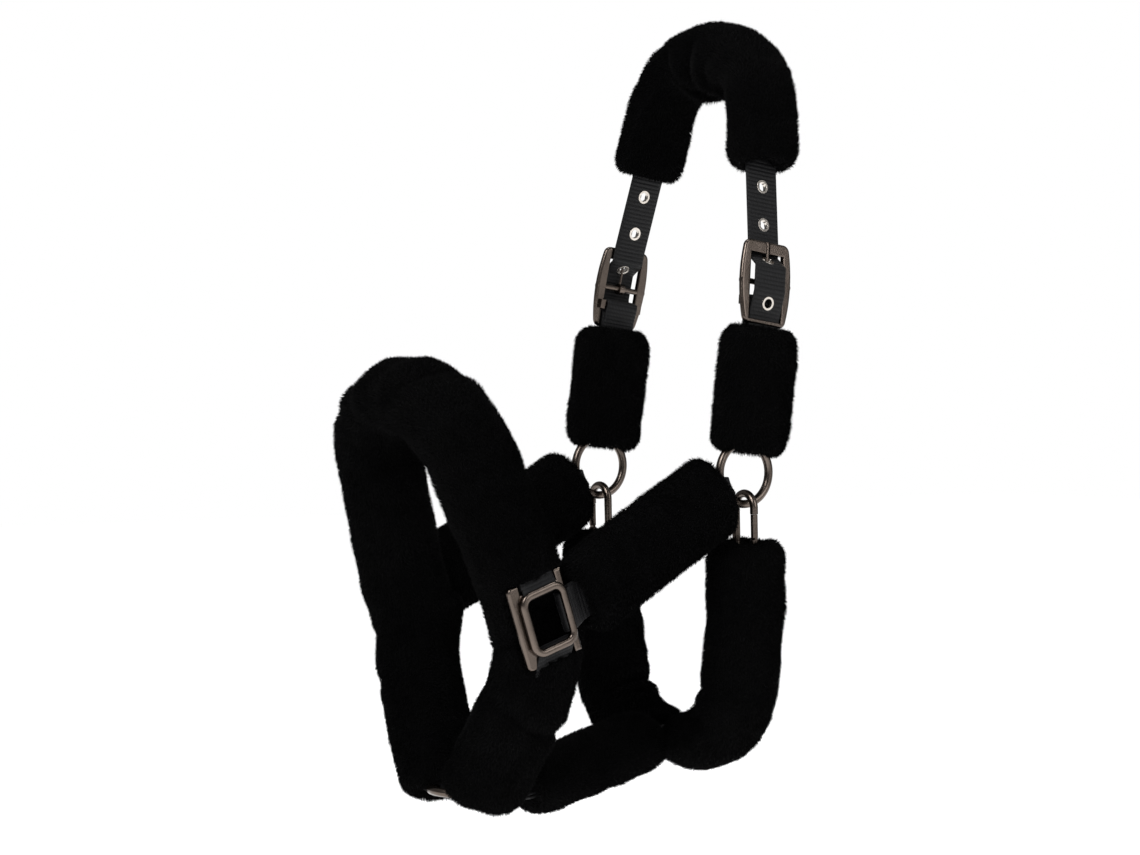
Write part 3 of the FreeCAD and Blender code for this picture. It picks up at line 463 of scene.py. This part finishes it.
def fan(centre, toward, reach=34.0):
    # a strap that comes to a round ring draws in across its width and follows the wire
    centre, toward = Vector(centre), Vector(toward).normalized()

    def bend(x, y, z):
        away = Vector((x, y)) - centre
        out = away.dot(toward)
        rest = away - toward * out
        weight = smooth((reach + 8 - out) / 10)
        angle = math.asin(max(-0.95, min(0.95, z / reach)))
        radius = out + (out * math.cos(angle) - out) * weight
        spot = centre + toward * radius + rest
        return spot.x, spot.y, z + (out * math.sin(angle) - z) * weight

    return bend


def skew(level, reach, slope):
    # a strap that meets a bar out of square turns a little before it
    def bend(x, y, z):
        return x, y + z * slope * smooth((reach - abs(y - level)) / reach * 1.6), z

    return bend


def eyeRound(centre, toward, radius, neck, half):
    # the strap's line in along one layer, round a bar or wire, and back along the other
    centre, toward = Vector(centre), Vector(toward).normalized()
    beside = Vector((-toward.y, toward.x))
    oneSide = [(half, neck + 3, 0), (half, neck, 5), (radius, 0.25 * radius, 2.5),
               (radius, -radius, radius * 0.98)]
    marks = oneSide + [(-out, up, bend) for out, up, bend in reversed(oneSide)]
    return [(*(centre + beside * out + toward * up), bend) for out, up, bend in marks]


def offsetLine(dense, shift):
    spots, heads = evenly(dense, 1.0)[:2]
    lefts = np.stack([-heads[:, 1], heads[:, 0]], 1)
    return [Vector(spot) for spot in spots + lefts * shift]


def webBand(name, place, dense, wide=None, warps=(), holes=()):
    wide, thick = wide or webbing["wide"], webbing["thick"]
    spots, heads, run = evenly(dense, webbing["step"])
    points, runs, acrosses, faces, face = [], [], [], [], []
    count = len(bandSection)
    for i, (spot, head, at) in enumerate(zip(spots, heads, run)):
        left = np.array((-head[1], head[0]))
        for across, depth in bandSection:
            flat = spot + left * (depth * thick / 2)
            place3 = (flat[0], flat[1], across * wide / 2)
            for warp in warps:
                place3 = warp(*place3)
            points.append(Vector(place3))
            runs.append(at)
            acrosses.append(across)
            face.append(1.0 if abs(across) < 0.9 else (0.45 if abs(across) < 0.95 else 0.0))
    blocked = [(Vector(spot), Vector(head).normalized()) for spot, head in holes]
    for i in range(len(spots) - 1):
        for k in range(count):
            nextK = (k + 1) % count
            quad = (i * count + k, i * count + nextK, (i + 1) * count + nextK, (i + 1) * count + k)
            if blocked:
                centre = sum((points[q] for q in quad), Vector()) / 4
                if any(math.hypot((centre.to_2d() - hole).dot(head), centre.z) < webbing["holeRadius"]
                       and (centre.to_2d() - hole).length < webbing["holeReach"]
                       for hole, head in blocked):
                    continue
            faces.append(quad)
    faces.append(tuple(reversed(range(count))))
    faces.append(tuple(range((len(spots) - 1) * count, len(spots) * count)))
    points = [(place @ point) * mm for point in points]
    piece = meshOf(name, points, faces, run=runs, across=acrosses, face=face)
    grow(piece, webRibs, RibPitch=webbing["ribPitch"], RibHeight=webbing["ribHeight"] * mm, Finish=webFinish)
    return piece


def joined(first, *rest):
    with bpy.context.temp_override(active_object=first, selected_editable_objects=[first, *rest]):
        bpy.ops.object.join()
    return first


half = webbing["thick"] / 2 + webbing["gap"]
crownStrap = {"behind": -3.45, "over": 5.2, "tail": -0.2, "cornerOut": 44.0, "cornerUp": -22.5, "pitch": 26.0,
              "bend": 26.5, "slopeTop": 18.5, "slopeLow": 11, "tailTop": -6, "tailLow": -24.8, "tailEnd": -50.3}
legStart = onBuckle(crownStrap["behind"], crownStrap["bend"])
crownCorner = Vector((crownStrap["cornerOut"], crownStrap["cornerUp"]))
legHead = (legStart - crownCorner).normalized()
strapHalf = [(0, crownStrap["cornerUp"], 0), (*crownCorner, 50), (*legStart, 20)]
slopeStart = onBuckle(crownStrap["behind"], crownStrap["slopeTop"])
slopeStop = onBuckle(crownStrap["over"], crownStrap["slopeLow"])
tailStart = onBuckle(crownStrap["over"], crownStrap["tailTop"])
tailMiddle = onBuckle(crownStrap["tail"], crownStrap["tailLow"])
tailStop = onBuckle(crownStrap["tail"], crownStrap["tailEnd"])
strapHalf += [(*slopeStart, 2.4), (*slopeStop, 2.4), (*tailStart, 6), (*tailMiddle, 6), (*tailStop, 0)]
tailHead = (tailMiddle - tailStart).normalized()
eyeletSpots = [(legStart - legHead * (crownStrap["pitch"] * (k - 0.5)), legHead) for k in (1, 2)]
eyeletSpots.append((slopeStart.lerp(slopeStop, 0.56), slopeStop - slopeStart))
eyeletSpots.append((tailStart + tailHead * 7.5, tailHead))
eyeletSpots += [(Vector((-spot.x, spot.y)), Vector((-head.x, head.y))) for spot, head in eyeletSpots]
wholeStrap = list(reversed([(-x, y, radius) for x, y, radius in strapHalf[1:]])) + strapHalf[1:]
crown = webBand("crownWebbing", crownPlane, corners(wholeStrap), holes=eyeletSpots)
settle(crown, "crown_strap", "crown")

foldSpot = onBuckle(-3.4, -12)
strapHead = Vector((ringSpot.x - foldSpot.x, ringSpot.y - ringRadius - foldSpot.y)).normalized()
ringTop = Vector((ringSpot.x, ringSpot.y - ringRadius))
cheekLine = corners(eyeRound(foldSpot, strapHead, eyeOn["strapBar"], necks["strapBar"], half))[:-1]
cheekLine += corners(eyeRound(ringTop, (0, -1), eyeOn["wire"], necks["wire"], half))
cheekLine.append(cheekLine[0])
nearCheek = webBand("nearCheekWebbing", crownPlane, cheekLine, warps=[fan(ringSpot, (0, -1))])
settlePair(nearCheek, "upper_cheek_strap", "crown")

pieceLine = corners(eyeRound((0, ringRadius), (0, 1), eyeOn["wire"], necks["wire"], half))[:-1]
pieceLine += corners(eyeRound((0, cheekLong), (0, -1), eyeOn["rail"], necks["rail"], half))
pieceLine.append(pieceLine[0])
railTilt = cheekPlane.to_3x3().inverted() @ noseUp
nearPiece = webBand("nearCheekpieceWebbing", cheekPlane, pieceLine,
                    warps=[fan((0, 0), (0, 1)), skew(cheekLong, 24, railTilt.y / railTilt.z)])
settlePair(nearPiece, "cheekpiece_strap", "lower")

noseSleeve = {"out": 68.0, "corner": 46.0, "rise": 141.0, "radius": 52.0, "tuck": 60.0}
tuckOut = noseSleeve["out"] + (noseSleeve["corner"] - noseSleeve["out"]) * noseSleeve["tuck"] / noseSleeve["rise"]
noseEye = inward(eyeRound((squareCentre.x, barHeight), (0, 1), eyeOn["bar"], necks["noseBar"], half))
noseEnd = noseEye[:-1] + [(noseEye[-1][0], barHeight + 13, 6), (tuckOut, noseSleeve["tuck"] + 8, 14),
                          (noseSleeve["corner"], noseSleeve["rise"], noseSleeve["radius"])]
nose = webBand("noseWebbing", nosePlane, corners(bothWays(noseEnd)))
settle(nose, "nose_strap", "lower")

chinEye = inward(eyeRound((squareCentre.x, 0), (0, 1), eyeOn["bar"], necks["chinBar"], half))
ringEye = eyeRound((ringRadius, chinDepth), (1, 0), eyeOn["wire"], necks["chinWire"], half)
if ringEye[0][1] < ringEye[-1][1]:
    ringEye.reverse()
chinLine = chinEye[:-1] + [(chinEye[-1][0], 13.5, 3.5), (60, 38, 20), (ringRadius + 20, ringEye[0][1], 7)]
chinLine += ringEye[1:]
barTilt = chinPlane.to_3x3().inverted() @ squareRear
nearChin = webBand("nearChinWebbing", chinPlane, corners(chinLine),
                   warps=[fan((0, chinDepth), (1, 0), 31.0), skew(0, 26, barTilt.y / barTilt.z)])
settlePair(nearChin, "chin_strap", "lower")

jaw = {"bend": 38.0, "radius": 28.0, "collarWide": 14.6, "collarHigh": 3.1}
throatDepth = 176.0
throatLow = throatPlane @ Vector((0, throatDepth, 0))
throatNormal = throatPlane.to_3x3() @ Vector((0, -1, 0))
toJaw = jawPlane.inverted()
collarMiddle = (toJaw @ throatLow).to_2d()
collarRear = (toJaw.to_3x3() @ throatNormal.cross(side)).to_2d().normalized()
collarUp = (toJaw.to_3x3() @ throatNormal).to_2d().normalized()
collarFront = (toJaw @ (throatLow + Vector((0, -(jaw["collarWide"] + 2), 0)))).to_2d()
frontSign = 1 if (collarFront - collarMiddle).dot(collarRear) > 0 else -1
jawCentre = corners([(0, ringRadius + 16, 0), (0, jaw["bend"] + 6, jaw["radius"] * 0.6), (*collarFront, 0)])
collar = [collarMiddle + collarRear * (frontSign * out) + collarUp * up for out, up in (
    (jaw["collarWide"], jaw["collarHigh"]), (-jaw["collarWide"], jaw["collarHigh"]),
    (-jaw["collarWide"], -jaw["collarHigh"]), (jaw["collarWide"], -jaw["collarHigh"]))]
upperLine, lowerLine = offsetLine(jawCentre, half), offsetLine(jawCentre, -half)
if upperLine[-1].x < lowerLine[-1].x:
    upperLine, lowerLine = lowerLine, upperLine
if collar[0].x < collar[-1].x:
    collar.reverse()
jawLoop = [(*spot, bend) for spot, bend in zip(collar, (3, 2.8, 2.8, 3))]
jawLoop = corners([(*upperLine[-1], 0), *jawLoop, (*lowerLine[-1], 0)])
jawEye = inward(corners(eyeRound((0, ringRadius), (0, 1), eyeOn["wire"], necks["wire"], half)))
jawLine = jawEye + upperLine + jawLoop + lowerLine[::-1]
jawWeb = webBand("jawWebbing", jawPlane, jawLine, warps=[fan((0, 0), (0, 1))])
settle(jawWeb, "jaw_strap", "lower")

link = {"top": 13.15, "long": 40.0, "radius": 9.3, "eyeWide": 11.0}
linkLow = link["top"] + link["long"]
throatHalf = [(ringSpot.x, linkLow + 12, 0), (77, 100, 120), (62, throatDepth, 46)]
throatWeb = webBand("throatWebbing", throatPlane, corners(bothWays(throatHalf)))
throatTurn = throatPlane.to_3x3()
linkPlane = plane(throatPlane @ Vector((ringSpot.x, linkLow, 0)), throatTurn @ Vector((0, 0, 1)),
                  throatTurn @ Vector((0, 1, 0)))
linkLine = corners(eyeRound((0, 0), (0, 1), eyeOn["link"], necks["link"], half))
linkEyes = [webBand("linkEye", linkPlane, linkLine, wide=link["eyeWide"],
                    warps=[fan((0, -link["radius"]), (0, 1), 22.0)])]
linkEyes.append(farTwin(linkEyes[0], "farLinkEye"))
throatWeb = joined(throatWeb, *linkEyes)
settle(throatWeb, "throat_strap", "lower")
print("webbing laid")

# plush sleeves

plush = {"around": 34, "step": 5.0, "under": 3.4, "tuftLength": 2.9, "tuftWidth": 0.27, "perArea": 1.3e6,
         "lean": 1.2, "clump": 9.0, "capMove": 2.6, "pressure": 4.0, "frames": 20, "fullness": 0.03}
legDrop = (55.0 - crownStrap["cornerUp"]) / legHead.y
sleeveLeg = crownCorner + legHead * legDrop
jawHead = (collarFront - Vector((0, jaw["bend"]))).normalized()
jawFirst = Vector((0, jaw["bend"])) + jawHead * 11
jawStop = collarFront - jawHead * 17
cheek = {"halfWide": 30.0, "halfThick": 21.5}
band = {"halfWide": 31.0, "halfThick": 25.0}
noseHalf = [(68, -14, 0), (68, 22, 60), (46, 141, 52)]
sleeves = [
    # name, node, body, plane, path, sizes, folds of (run, side angle, spread, depth, width, slant)
    dict(name="crownPlush", node="crown_sleeve", body="crown", place=crownPlane, halfWide=27.0, halfThick=22.5,
         path=bothWays([(*sleeveLeg, 0), (*crownCorner, 50)]), seed=3,
         folds=[(0.43, -90, 110, -9.0, 15, 0), (0.57, -90, 110, -9.0, 15, 0), (0.5, -90, 150, 9.0, 3.6, 2),
                (0.46, -70, 150, 5.8, 2.8, 16), (0.545, -105, 150, 5.8, 2.8, -16),
                (0.41, -80, 95, 3.0, 2.4, 14), (0.59, -95, 90, 3.0, 2.4, -14)]),
    *(dict(name=f"{which}CheekPlush", node=f"{which}_upper_cheek_sleeve", body="crown", place=crownPlane,
           **cheek, seed=seed, path=[(out, 164, 0), (out, 242, 0)], folds=[])
      for which, seed, out in (("near", 5, ringSpot.x + 0.5), ("far", 8, -ringSpot.x - 0.5))),
    dict(name="nosePlush", node="nose_sleeve", body="lower", place=nosePlane, **band, seed=11, dent=True,
         path=bothWays(noseHalf),
         folds=[(0.435, -90, 140, 4.5, 3.2, 5), (0.5, -90, 90, 2.2, 3.0, 0), (0.572, -95, 150, 5.5, 3.2, -6),
                (0.62, -70, 100, 3.0, 2.6, -10)]),
    *(dict(name=f"{which}ChinPlush", node=f"{which}_chin_sleeve", body="lower", place=chinPlane, **band,
           seed=seed, dent=True, folds=[fold],
           path=[(way * 68, -24, 0), (way * 68, 20, 60), (way * 22, chinDepth - 1.5, 0)])
      for which, seed, way, fold in (("near", 14, 1, (0.52, -80, 150, 4.2, 3.2, 8)),
                                     ("far", 17, -1, (0.45, 90, 140, 3.4, 3.2, -6)))),
    *(dict(name=f"{which}CheekpiecePlush", node=f"{which}_cheekpiece_sleeve", body="lower", place=cheekPlane,
           **cheek, seed=seed, path=[(-2, 25, 0), (-2, cheekLong - 15, 0)], folds=[fold], flip=which == "far")
      for which, seed, fold in (("near", 20, (0.4, 60, 80, 1.4, 4.0, 8)),
                                ("far", 23, (0.6, 60, 80, 1.4, 4.0, -8)))),
    dict(name="nearThroatPlush", node="near_throat_sleeve", body="lower", place=throatPlane, **cheek, seed=26,
         path=[(ringSpot.x, 46, 0), (77, 100, 120), (62, throatDepth, 46), (14, throatDepth, 0)],
         folds=[(0.66, 90, 150, 5.0, 3.0, 5), (0.75, 90, 140, 4.2, 2.8, -5), (0.585, 90, 90, 2.4, 3.0, 0)]),
    dict(name="farThroatPlush", node="far_throat_sleeve", body="lower", place=throatPlane, **cheek, seed=29,
         path=[(-ringSpot.x, 46, 0), (-77, 100, 120), (-62, throatDepth, 46), (-14, throatDepth, 0)],
         folds=[(0.66, -90, 150, 5.0, 3.0, -5), (0.74, -90, 140, 4.0, 2.8, 5)]),
    dict(name="jawPlush", node="jaw_sleeve", body="lower", place=jawPlane, **cheek, seed=32,
         path=[(*jawFirst, 0), (*(jawStop + jawHead * 9), 0)], folds=[(0.5, 90, 70, 1.6, 4.0, 5)]),
]


def lippedRows(spots, heads, run):
    # rows of a sleeve: rounded lips at both ends and a dimple where the strap runs in
    long = run[-1]
    rows = []
    for inset, share in ((6.0, 0.2), (3.4, 0.42), (1.0, 0.62)):
        rows.append((inset, share))
    for at in run:
        away = min(at, long - at)
        rows.append((at, 1 - 0.22 * (1 - min(away / 7.5, 1)) ** 2))
    for inset, share in ((1.0, 0.62), (3.4, 0.42), (6.0, 0.2)):
        rows.append((long - inset, share))
    made = []
    for at, share in rows:
        spot = np.array([np.interp(at, run, spots[:, k]) for k in (0, 1)])
        head = np.array([np.interp(at, run, heads[:, k]) for k in (0, 1)])
        made.append((at, share, spot, head / np.linalg.norm(head)))
    return made


def sleeveShell(facts):
    dense = corners(facts["path"])
    spots, heads, run = evenly(dense, plush["step"])
    around = plush["around"]
    wide, thick = facts["halfWide"] - plush["under"], facts["halfThick"] - plush["under"]
    points, runs, turnX, turnY, comb, faces = [], [], [], [], [], []
    rows = lippedRows(spots, heads, run)
    for at, share, spot, head in rows:
        left = np.array((-head[1], head[0]))
        for k in range(around):
            angle = 2 * math.pi * k / around
            where = Vector((at / 26, math.cos(angle) * 1.3 + facts["seed"], math.sin(angle) * 1.3))
            lump = 1 + 0.035 * noise.noise(where)
            flat = spot + left * (math.sin(angle) * thick * share * lump)
            points.append(Vector((flat[0], flat[1], math.cos(angle) * wide * share * lump)))
            runs.append(at / run[-1])
            turnX.append(math.cos(angle))
            turnY.append(math.sin(angle))
            comb.append(Vector((head[0], head[1], 0)) * 0.7)
    for i in range(len(rows) - 1):
        for k in range(around):
            after = (k + 1) % around
            faces.append((i * around + k, i * around + after, (i + 1) * around + after, (i + 1) * around + k))
    last = (len(rows) - 1) * around
    faces.append(tuple(range(around))[::-1])
    faces.append(tuple(range(last, last + around)))
    place = facts["place"]
    if facts.get("flip"):
        place = Matrix.Scale(-1, 4, side) @ place
    turn = place.to_3x3()
    piece = meshOf(facts["name"], [(place @ point) * mm for point in points], faces,
                   run=runs, turnX=turnX, turnY=turnY, comb=[turn @ lean for lean in comb])
    piece.data.update()
    volume = sum(face.center.dot(face.normal) * face.area for face in piece.data.polygons)
    if volume < 0:
        piece.data.flip_normals()
    return piece


def coordinates(mesh):
    values = np.empty(len(mesh.vertices) * 3, np.float32)
    mesh.vertices.foreach_get("co", values)
    return values.reshape(-1, 3)


def attribute(mesh, name):
    values = np.empty(len(mesh.vertices), np.float32)
    mesh.attributes[name].data.foreach_get("value", values)
    return values


def puffUp(pieces):
    starts = [coordinates(piece.data) for piece in pieces]
    for piece in pieces:
        cloth = piece.modifiers.new("puff", "CLOTH")
        settings = cloth.settings
        settings.quality = 4
        settings.use_pressure = True
        settings.uniform_pressure_force = plush["pressure"]
        settings.shrink_min = -plush["fullness"]
        settings.bending_stiffness = 0.15
        settings.effector_weights.gravity = 0
        cloth.point_cache.frame_end = plush["frames"]
    for step in range(1, plush["frames"] + 1):
        scene.frame_set(step)
    shown = bpy.context.evaluated_depsgraph_get()
    for piece, start in zip(pieces, starts):
        moved = coordinates(piece.evaluated_get(shown).data) - start
        far = np.linalg.norm(moved, axis=1)
        far[far == 0] = 1
        moved *= np.minimum(1, plush["capMove"] * mm / far)[:, None]
        piece.modifiers.clear()
        piece.data.vertices.foreach_set("co", (start + moved).ravel())
        piece.data.update()
    scene.frame_set(1)


def crease(piece, facts):
    mesh = piece.data
    co = coordinates(mesh)
    normals = np.empty(len(mesh.vertices) * 3, np.float32)
    mesh.vertices.foreach_get("normal", normals)
    normals = normals.reshape(-1, 3)
    run, angle = attribute(mesh, "run"), np.arctan2(attribute(mesh, "turnY"), attribute(mesh, "turnX"))
    long = evenly(corners(facts["path"]), plush["step"])[2][-1]
    push = np.zeros(len(co))
    for spot, around, spread, depth, width, slant in facts["folds"]:
        turned = angle - math.radians(around)
        off = np.degrees(np.arctan2(np.sin(turned), np.cos(turned)))
        reach = np.clip(1 - np.abs(off) / spread, 0, 1)
        reach = reach * reach * (3 - 2 * reach)
        wave = np.sin(off / 23 + facts["seed"]) * 1.6
        away = np.abs((run - spot) * long - slant * off / 90 - wave)
        push -= reach * depth * np.exp(-(away / width) ** 1.3)
        push += reach * depth * 0.28 * np.exp(-((away - 3 * width) / (1.6 * width)) ** 2)
    shift = Vector((facts["seed"] * 1.7, 0, 0))
    for i, point in enumerate(co):
        spot = Vector(point) / mm
        push[i] += 1.1 * noise.noise(spot / 17 + shift) + 0.55 * noise.noise(spot / 6.5 + shift)
    co = co + normals * push[:, None] * mm
    mesh.vertices.foreach_set("co", co.astype(np.float32).ravel())
    mesh.update()


def dent(piece):
    # the plush gives way behind the halter square and is pressed flat there
    reach = {"out": 77.4, "rear": 20.0, "tall": 22.5, "soft": 4.0}
    mesh = piece.data
    co = coordinates(mesh) / mm
    away = co - np.array([0, squareCentre.y, squareCentre.z])
    along = np.abs(away @ np.array(noseUp)) - reach["tall"]
    across = np.abs(away @ np.array(squareRear)) - reach["rear"]
    beyond = np.clip(np.maximum(along, across) / reach["soft"], 0, 1)
    weight = 1 - beyond * beyond * (3 - 2 * beyond)
    over = np.maximum(np.abs(co[:, 0]) - reach["out"], 0)
    co[:, 0] -= np.sign(co[:, 0]) * over * weight
    mesh.vertices.foreach_set("co", (co * mm).astype(np.float32).ravel())
    mesh.update()


shells = [sleeveShell(facts) for facts in sleeves]
print("sleeves cut out")
puffUp(shells)
print("sleeves filled out")
for shell, facts in zip(shells, sleeves):
    finer = shell.modifiers.new("finer", "SUBSURF")
    finer.levels = finer.render_levels = 1
    bpy.context.view_layer.update()
    made = bpy.data.meshes.new_from_object(shell.evaluated_get(bpy.context.evaluated_depsgraph_get()))
    shell.modifiers.clear()
    shell.data = made
    crease(shell, facts)
    if facts.get("dent"):
        dent(shell)
    grow(shell, plushCover, TuftLength=plush["tuftLength"] * mm, TuftWidth=plush["tuftWidth"] * mm,
         TuftsPerArea=plush["perArea"] * 1, Lean=plush["lean"],
         ClumpSize=plush["clump"] * mm, Seed=facts["seed"], Finish=pileFinish)
    settle(shell, facts["node"], facts["body"])
print("plush grown:", sum(len(shell.data.polygons) for shell in shells), "faces")

# hardware keeps its CAD shapes, with a raised border round each square's window


def borderRing(facts):
    # a rounded border of oval section that stands over the square's bars and the loops on them
    wide, tall, bend = facts["wide"], facts["tall"], facts["bend"]
    line = corners([(0, -tall, 0), (wide, -tall, bend), (wide, tall, bend), (-wide, tall, bend),
                    (-wide, -tall, bend), (0, -tall, 0)])
    spots, heads = evenly(line, facts["step"])[:2]
    points, faces = [], []
    around = facts["around"]
    for spot, head in zip(spots[:-1], heads[:-1]):
        left = np.array((-head[1], head[0]))
        for k in range(around):
            angle = 2 * math.pi * k / around
            across = math.copysign(abs(math.cos(angle)) ** 0.8, math.cos(angle)) * facts["halfWide"]
            rise = math.copysign(abs(math.sin(angle)) ** 0.8, math.sin(angle)) * facts["halfHigh"]
            flat = spot + left * across
            points.append((squarePlane @ Vector((flat[0], flat[1], facts["stand"] + rise))) * mm)
    count = len(spots) - 1
    for i in range(count):
        for k in range(around):
            quad = [(i, k), ((i + 1) % count, k), ((i + 1) % count, (k + 1) % around), (i, (k + 1) % around)]
            faces.append([row * around + column for row, column in quad])
    return meshOf("nearSquareBorder", points, faces)


squarePlane = plane(squareCentre, squareRear, noseUp)
nearBorder = borderRing({"wide": 15.0, "tall": 18.4, "bend": 6.5, "step": 0.8, "around": 20,
                         "halfWide": 2.5, "halfHigh": 2.2, "stand": 3.9})
nearBorder.data.materials.append(gunFinish)
for border in (nearBorder, farTwin(nearBorder, nearBorder.name.replace("near", "far"))):
    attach(border, "lower")

for name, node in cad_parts.items():
    if node.hide_render:
        continue
    chosen = nickelFinish if "eyelet" in name else gunFinish
    for slot in node.material_slots:
        slot.material = chosen
    if not node.material_slots:
        node.data.materials.append(chosen)

# stage, light and camera

stage = {"drop": 0.16, "reach": 6.0}
floor = meshOf("floor", [(x * stage["reach"], y * stage["reach"], cadLow.z - stage["drop"])
                         for x, y in ((-1, -1), (1, -1), (1, 1), (-1, 1))], [(0, 1, 2, 3)])
floor.data.materials.append(finish("paleFloor", lambda graph: {
    "Base Color": graph.shade(graph.noiseAt(graph.node("ShaderNodeTexCoord", gives="Object"), 3.0),
                              (0.90, 0.90, 0.90, 1), (0.93, 0.93, 0.93, 1)), "Roughness": 0.9,
    "Emission Color": (1, 1, 1, 1), "Emission Strength": 0.86}))

world = bpy.data.worlds.new("studio")
scene.world = world
world.use_nodes = True
# the backdrop is white to the eye and gives only a low, even light
sky = Graph(world.node_tree)
seen = sky.node("ShaderNodeLightPath", gives="Is Camera Ray")
background = world.node_tree.nodes["Background"]
background.inputs["Color"].default_value = (1, 1, 1, 1)
backdrop = {"seen": 1.0, "given": 0.24}
strength = seen * (backdrop["seen"] - backdrop["given"]) + backdrop["given"]
world.node_tree.links.new(strength.socket, background.inputs["Strength"])


def softbox(name, place, target, wide, tall, power):
    lamp = bpy.data.lights.new(name, "AREA")
    lamp.shape = "RECTANGLE"
    lamp.size, lamp.size_y, lamp.energy = wide, tall, power
    holder = bpy.data.objects.new(name, lamp)
    scene.collection.objects.link(holder)
    holder.location = place
    holder.rotation_euler = (Vector(target) - Vector(place)).to_track_quat("-Z", "Y").to_euler()


middleOfAll = (cadLow + cadHigh) / 2
softbox("key", (0.6, -1.6, 1.1), middleOfAll, 0.9, 0.9, 32)
softbox("fill", (1.7, 0.5, 0.5), middleOfAll, 1.2, 1.2, 14)
softbox("top", (0.0, 0.1, 1.5), middleOfAll, 1.0, 1.0, 16)

eye = {"at": (1.516, -1.178, -0.187), "azimuth": 55.0, "down": 1.196, "lens": 90.0}
azimuth, down = math.radians(eye["azimuth"]), math.radians(eye["down"])
look = Vector((-math.sin(azimuth) * math.cos(down), math.cos(azimuth) * math.cos(down), -math.sin(down)))
camera = bpy.data.objects.new("camera", bpy.data.cameras.new("camera"))
scene.collection.objects.link(camera)
camera.location = eye["at"]
camera.rotation_euler = look.to_track_quat("-Z", "Y").to_euler()
camera.data.lens = eye["lens"]
camera.data.sensor_width = 36
camera.data.clip_start = 0.05
scene.camera = camera
scene.view_settings.view_transform = "Standard"

print("done")
